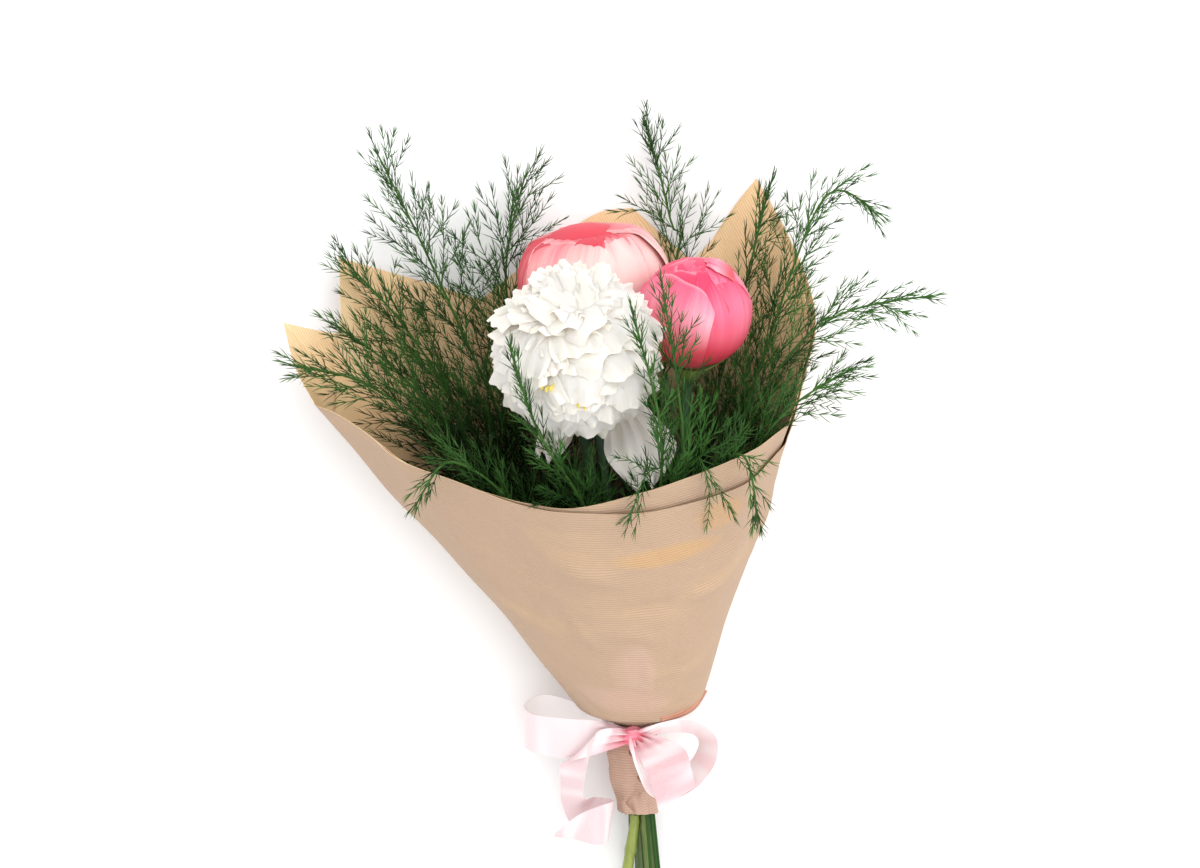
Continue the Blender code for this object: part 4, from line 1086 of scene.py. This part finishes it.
def stems(material):
    for name, bloom, slot, splay, bends, tone in PEONY_STEMS:
        path, seat, cup_bottom = peony_stem_path(bloom, slot, splay, bends)
        pile = Pile()
        lengths = run_lengths(path)
        radii = PEONY_STEM * (1 + 0.05 * np.sin(lengths * 90 + tone * 9))
        radii += JOINT_SWELL * np.exp(-(((lengths - JOINT_AT - 0.03 * tone) / JOINT_LENGTH) ** 2))
        # painted shade: inside the paper the stems turn to the dark tone
        inside = np.clip((path[:, 1] - TAIL_Y) / 0.05, 0, 1)[:, None]
        tube(pile, path, radii, 18, (1.0, 8.0, tone + (1 - tone) * inside))
        cup = np.linspace(cup_bottom, seat, 8)
        tube(pile, cup, CALYX_RADIUS + CALYX_OPENS * np.linspace(0, 1, 8) ** 0.7, 20, (1.0, 8.0, 0.2))
        for azimuth in SEPALS:
            sepal(pile, bloom, azimuth)
        pile.build("green_" + name, [material], "peony_stem", name)


# ---- fern


def frame_tree():
    """One search tree over everything but the fern."""
    points, faces = [], []
    for name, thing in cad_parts.items():
        if not name.startswith("fern_spray"):
            base = len(points)
            points += [v.co.copy() for v in thing.data.vertices]
            faces += [[base + i for i in face.vertices] for face in thing.data.polygons]
    return BVHTree.FromPolygons(points, faces)


def is_clear(path, reach, tree):
    """Whether a path crosses no other node, keeps off them by reach, and stays in the frame's box."""
    path = np.array(path)
    if (path < BOX_LOW).any() or (path > BOX_HIGH).any():
        return False
    for a, b in zip(path, path[1:]):
        step = Vector(b - a)
        if tree.ray_cast(Vector(a), step.normalized(), step.length)[0]:
            return False
    return not any(tree.find_nearest(Vector(p), reach)[0] for p in path[1:])


def fern_path(index, bends):
    """A spray's stem from its cut end, through its slot in the neck, to its tip."""
    shift = spoke(math.tau * (index - 0.5) / FERN_SLOTS) * FERN_RING
    if shift[0] < 0.004 and shift[2] > -0.006:
        cut = neck_middle(TAIL_Y - 0.001) + shift
    else:
        cut = neck_middle(CUT_Y + FERN_CUT_STEP * (index % 3)) + shift * 1.3
    tail = neck_middle(TAIL_Y + 0.004) + shift
    return np.vstack((cut, tail, smooth_run([TIE + shift, *metres(bends)], 12)))


def bent_clear(path, radius, tree):
    """The path, pushed away from the surfaces that it would cross, and kept smooth."""
    path = [Vector(p) for p in path]
    free_from = next(i for i, p in enumerate(path) if p.y > TIE[1] + 0.02)
    need = radius + 4 * GAP
    for _ in range(BEND_ROUNDS):
        for i in range(free_from, len(path) - 1):
            path[i] = path[i] * 0.6 + (path[i - 1] + path[i + 1]) * 0.2
        for i in range(free_from, len(path)):
            spot, normal, _, away = tree.find_nearest(path[i], FEEL)
            if spot is None:
                continue
            if (path[i] - spot).dot(normal) < 0:
                path[i] += normal * (need + away)
            elif away < need:
                path[i] += (path[i] - spot).normalized() * (need - away)
    return np.array(path)


def painted_shade_depths(places):
    """How deep in the bunch places are, from 0 outside to 1 far down in the cone of paper; the fern's
    look paints shade by it.
    """
    below = np.clip((SHADE_Z - places[:, 2]) / SHADE_RUN_Z, 0, 1)
    return 0.95 * below * np.clip((SHADE_Y - places[:, 1]) / SHADE_RUN_Y, 0, 1)


def needles(pile, roots, headings, lengths, tones):
    """Three-sided needles, a little bent, each closed by its own foot."""
    side = unit(np.cross(headings, (0.31, 0.52, 0.79)))
    other = np.cross(headings, side)
    count = len(roots)
    points = np.zeros((count, 7, 3))
    for corner, turn in enumerate(turns_round(3)):
        arm = side * math.cos(turn) + other * math.sin(turn)
        points[:, corner] = roots + arm * NEEDLE_THICK
        middle = roots + headings * (lengths * 0.55)[:, None] + side * (lengths * 0.03)[:, None]
        points[:, 3 + corner] = middle + arm * NEEDLE_THICK * 0.95
    points[:, 6] = roots + headings * lengths[:, None]
    finish = np.zeros((count, 7, 3))
    # painted shade for needles deep in the bunch
    finish[..., 0] = painted_shade_depths(roots)[:, None]
    finish[:, 3:6, 1] = 0.55
    finish[:, 6, 1] = 1.0
    finish[..., 2] = tones[:, None]
    base = np.arange(count)[:, None] * 7
    walls = np.concatenate([base + (c, (c + 1) % 3, 3 + (c + 1) % 3, 3 + c) for c in range(3)])
    spikes = np.concatenate([base + (3 + c, 3 + (c + 1) % 3, 6) for c in range(3)])
    pile.add(points, finish.reshape(-1, 3), [walls, spikes, base + (2, 1, 0)])


def side_direction(along, angle, roll):
    """A direction at an angle off along, turned round it by roll."""
    square = unit(np.cross(along, (0.41, 0.27, 0.87)))
    other = np.cross(along, square)
    out = square * math.cos(roll) + other * math.sin(roll)
    return along * math.cos(angle) + out * math.sin(angle)


class Twigs:
    """Grows the twigs of one spray and gathers their needles."""

    def __init__(self, pile, tree, draw):
        self.pile, self.tree, self.draw = pile, tree, draw
        self.needles = []

    def grow(self, foot, along, roll, angle, length, radius, tone):
        """A twig with its needles, or None where it would touch something."""
        heading = side_direction(along, angle, roll)
        drift = unit(along - heading * np.dot(along, heading))
        steps = np.linspace(0, 1, 8)[:, None]
        path = foot + heading * length * steps + drift * length * TWIG_BEND * steps**2
        if not is_clear(path, 2 * radius + GAP, self.tree):
            return None
        tube(self.pile, path, np.linspace(radius, radius * 0.4, 8), 4, (0.0, 8.0, tone))
        self.line_with_needles(path, TWIG_FROM, tone)
        return path

    def line_with_needles(self, path, start, tone):
        lengths = run_lengths(path)
        distance = start * lengths[-1]
        roll = self.draw.uniform(0, math.tau)
        while distance < lengths[-1]:
            place, ahead = along_path(path, lengths, distance)
            count = 3 if self.draw.random() < THREES else 2
            self.whorl(place, ahead, roll, count, NEEDLE_TILT, distance / lengths[-1], tone)
            roll += GOLDEN_ANGLE / 2
            distance += WHORL_STEP * self.draw.uniform(*STEP_RANGE)
        self.whorl(path[-1], unit(path[-1] - path[-2]), roll, 3, TIP_TILT, 1.0, tone)

    def whorl(self, place, ahead, roll, count, tilts, share, tone):
        for i in range(count):
            turn = roll + i * math.tau / count + self.draw.uniform(-0.3, 0.3)
            heading = side_direction(ahead, math.radians(self.draw.uniform(*tilts)), turn)
            length = NEEDLE * self.draw.uniform(*NEEDLE_RANGE) * (1.0 - 0.25 * share)
            if is_clear([place, place + heading * length], NEEDLE_THICK, self.tree):
                own_tone = min(1.0, max(0.0, tone + self.draw.uniform(-0.35, 0.35)))
                self.needles.append((place, heading, length, own_tone))


def along_path(path, lengths, distance):
    """The place at a distance along a path, and the direction there."""
    step = min(max(int(np.searchsorted(lengths, distance)), 1), len(path) - 1)
    share = (distance - lengths[step - 1]) / (lengths[step] - lengths[step - 1])
    return path[step - 1] + (path[step] - path[step - 1]) * share, unit(path[step] - path[step - 1])


def side_branches(twigs, index, path, draw):
    """The side branches up the leafy part of a spray, each with its twigs."""
    lengths = run_lengths(path)
    for i in range(BRANCHES):
        share = (i + draw.random()) / BRANCHES
        foot, along = along_path(path, lengths, lengths[-1] * (LEAFY_FROM + (1 - LEAFY_FROM) * share))
        spread = 1 + (SPREADS[index] - 1) * min(1.0, share / BARE_FROM)
        reach = spread * (BRANCH_REACH * (1 - share) ** 0.6 + TIP_REACH) * draw.uniform(*BRANCH_RANGE)
        tone = draw.uniform(0.0, 1.0)
        for attempt in range(BRANCH_TRIES):
            roll = i * GOLDEN_ANGLE + draw.uniform(-0.3, 0.3) + attempt * TRY_TURN
            angle = math.radians(draw.uniform(*BRANCH_ANGLE) - 6 * share)
            length = reach * (1 - TRY_SHRINK * attempt)
            branch = twigs.grow(foot, along, roll, angle, length, BRANCH_THICK, tone)
            if branch is not None:
                side_twigs(twigs, branch, tone, TWIG_STEP * (1 + 0.7 * share), draw)
                break


def drape(twigs, way, draw):
    """A side branch that hangs over the paper's rim."""
    path = smooth_run(metres(way), 6)
    tube(twigs.pile, path, np.linspace(*DRAPE_THICK, len(path)), 4, (0.0, 8.0, 0.5))
    twigs.line_with_needles(path, 0.1, 0.5)
    side_twigs(twigs, path, 0.5, TWIG_STEP, draw)


def fern_spray(index, bends, tree, material):
    """One spray: its stem, side branches up the leafy part, and twigs on those, all with needles."""
    draw = random.Random(300 + index)
    path = bent_clear(fern_path(index, bends), FERN_STEM, tree)
    lengths = run_lengths(path)
    pile = Pile()
    taper = 1.0 - 0.9 * np.maximum(0.0, lengths / lengths[-1] - 0.5)
    tube(pile, path, FERN_STEM * taper, 8, (0.0, 8.0, 0.35))
    twigs = Twigs(pile, tree, draw)
    side_branches(twigs, index, path, draw)
    twigs.line_with_needles(path[-8:], 0.0, 0.6)
    for spray, way in DRAPES:
        if spray == index:
            drape(twigs, way, draw)
    needles(pile, *(np.array(values) for values in zip(*twigs.needles)))
    name = f"fern_spray_{index + 1:02d}"
    pile.build("green_" + name, [material], "fern_green", name)


def side_twigs(twigs, branch, tone, spacing, draw):
    """The twigs that leave a side branch, shorter towards its tip."""
    lengths = run_lengths(branch)
    count = int(lengths[-1] / spacing)
    for i in range(count):
        share = TWIG_FROM + TWIG_SPAN * (i + draw.random() * 0.6) / count
        place, ahead = along_path(branch, lengths, share * lengths[-1])
        length = lengths[-1] * (1 - share) * draw.uniform(*TWIG_RANGE) + TWIG_LEAST
        roll = i * GOLDEN_ANGLE + draw.uniform(-0.4, 0.4)
        angle = math.radians(draw.uniform(*TWIG_ANGLE))
        twigs.grow(place, ahead, roll, angle, length, TWIG_THICK, tone)


def ferns():
    tree = frame_tree()
    material = fern_material()
    for index, bends in enumerate(FERN_SPRAYS):
        fern_spray(index, bends, tree, material)


# ---- ribbon


def gathered(ratio, side, folds):
    """How far gathered cloth stands up at each place across a strip that is drawn in to a ratio of
    its width, so that its width along the folds stays the same."""
    depth = RIBBON_WIDTH / 4 / folds * np.sqrt(np.maximum(0.0, 1 - ratio**2))
    return depth[:, None] * np.sin(folds * math.pi * side)[None, :]


def strip(pile, turns, painted_paleness, slots):
    """A length of ribbon through its turns, gathered near the knot and pinker there as painted shade,
    paler away from it as painted light, with the slots of its two sides; gives its length."""
    middles, halves = (smooth_run(metres(points), 10) for points in zip(*turns))
    side = np.linspace(-1, 1, 23)
    ratio = np.clip(2 * np.linalg.norm(halves, axis=1) / RIBBON_WIDTH, 0, 1)
    up = unit(np.cross(tangents(middles), unit(halves)))
    near = np.linalg.norm(middles - metres(KNOT), axis=1)
    pull = np.clip(1.6 - near / KNOT_PULL, 0, 1)
    grid = middles[:, None] + halves[:, None] * side[None, :, None]
    grid += (up * pull[:, None])[:, None] * gathered(ratio, side, 3)[..., None]
    lengths = run_lengths(middles)
    # painted shade near the knot, and painted light (paleness) away from it
    tone = np.clip(1 - near / KNOT_PAINTED_SHADE, 0, 1) ** 1.5 - painted_paleness * np.clip(near / KNOT_PAINTED_LIGHT - 0.5, 0, 1)
    values = joined(side * RIBBON_WIDTH / 2, lengths[:, None], tone[:, None])
    blade(pile, grid, values, RIBBON, slots=slots)
    return lengths[-1]


def neck_band(pile):
    """The turn of ribbon gathered round the neck; gives its length."""
    rows, columns = 13, 48
    grid = []
    for i, y in enumerate(np.linspace(TIE[1] - 0.0007, TIE_END_Y + 0.0012, rows)):
        radius = OUTER_NECK + GAP + RIBBON + BAND_LIFT + BAND_FOLD * math.sin(i * math.pi / 2)
        grid.append([ring_point(a, y, radius) for a in turns_round(columns)])
    values = joined(np.zeros((rows, 1)), np.arange(columns) * 0.002, 0.5)
    blade(pile, np.array(grid), values, RIBBON, closed=True)
    return math.tau * OUTER_NECK


def knot(pile):
    """The small gathered knot."""
    rows, columns = 24, 40
    polar, around = round_grid(rows, columns, 0.02)
    swell = np.sin(polar) * (1 + 0.07 * np.sin(polar) * np.sin(9 * around + 2 * np.cos(polar)))
    local = joined(np.cos(polar), swell * np.cos(around), swell * np.sin(around))
    values = joined(around * 0.004 + 0 * polar, 0.0, 1.0)
    pile.add(metres(KNOT) + local * KNOT_SIZES, values.reshape(-1, 3), [quads(rows, columns, True)])


def ribbon():
    pile = Pile()
    left_loop = [(middle, LOOP_HALF * share) for middle, share in LEFT_LOOP]
    strips = (
        (left_loop, 0.8, (0, 1)),
        (LEFT_TAIL, 0.5, (0, 0)),
        # painted light: the right loop shows the paler back on both faces
        (RIGHT_LOOP, -0.22, (1, 1)),
        (RIGHT_TAIL, 0.1, (1, 0)),
    )
    length = sum(strip(pile, *one) for one in strips)
    length += neck_band(pile)
    knot(pile)
    looks = [satin_material(*satin) for satin in SATINS]
    bow = pile.build("satin_bow", looks, "pink_satin", "satin_ribbon")


# ---- the bunch

camera_and_light()
floor()
papers()
blooms()
stems(stem_material("stem_green", (0.19, 0.25, 0.045), (0.28, 0.33, 0.065), (0.035, 0.085, 0.035)))
ribbon()
ferns()
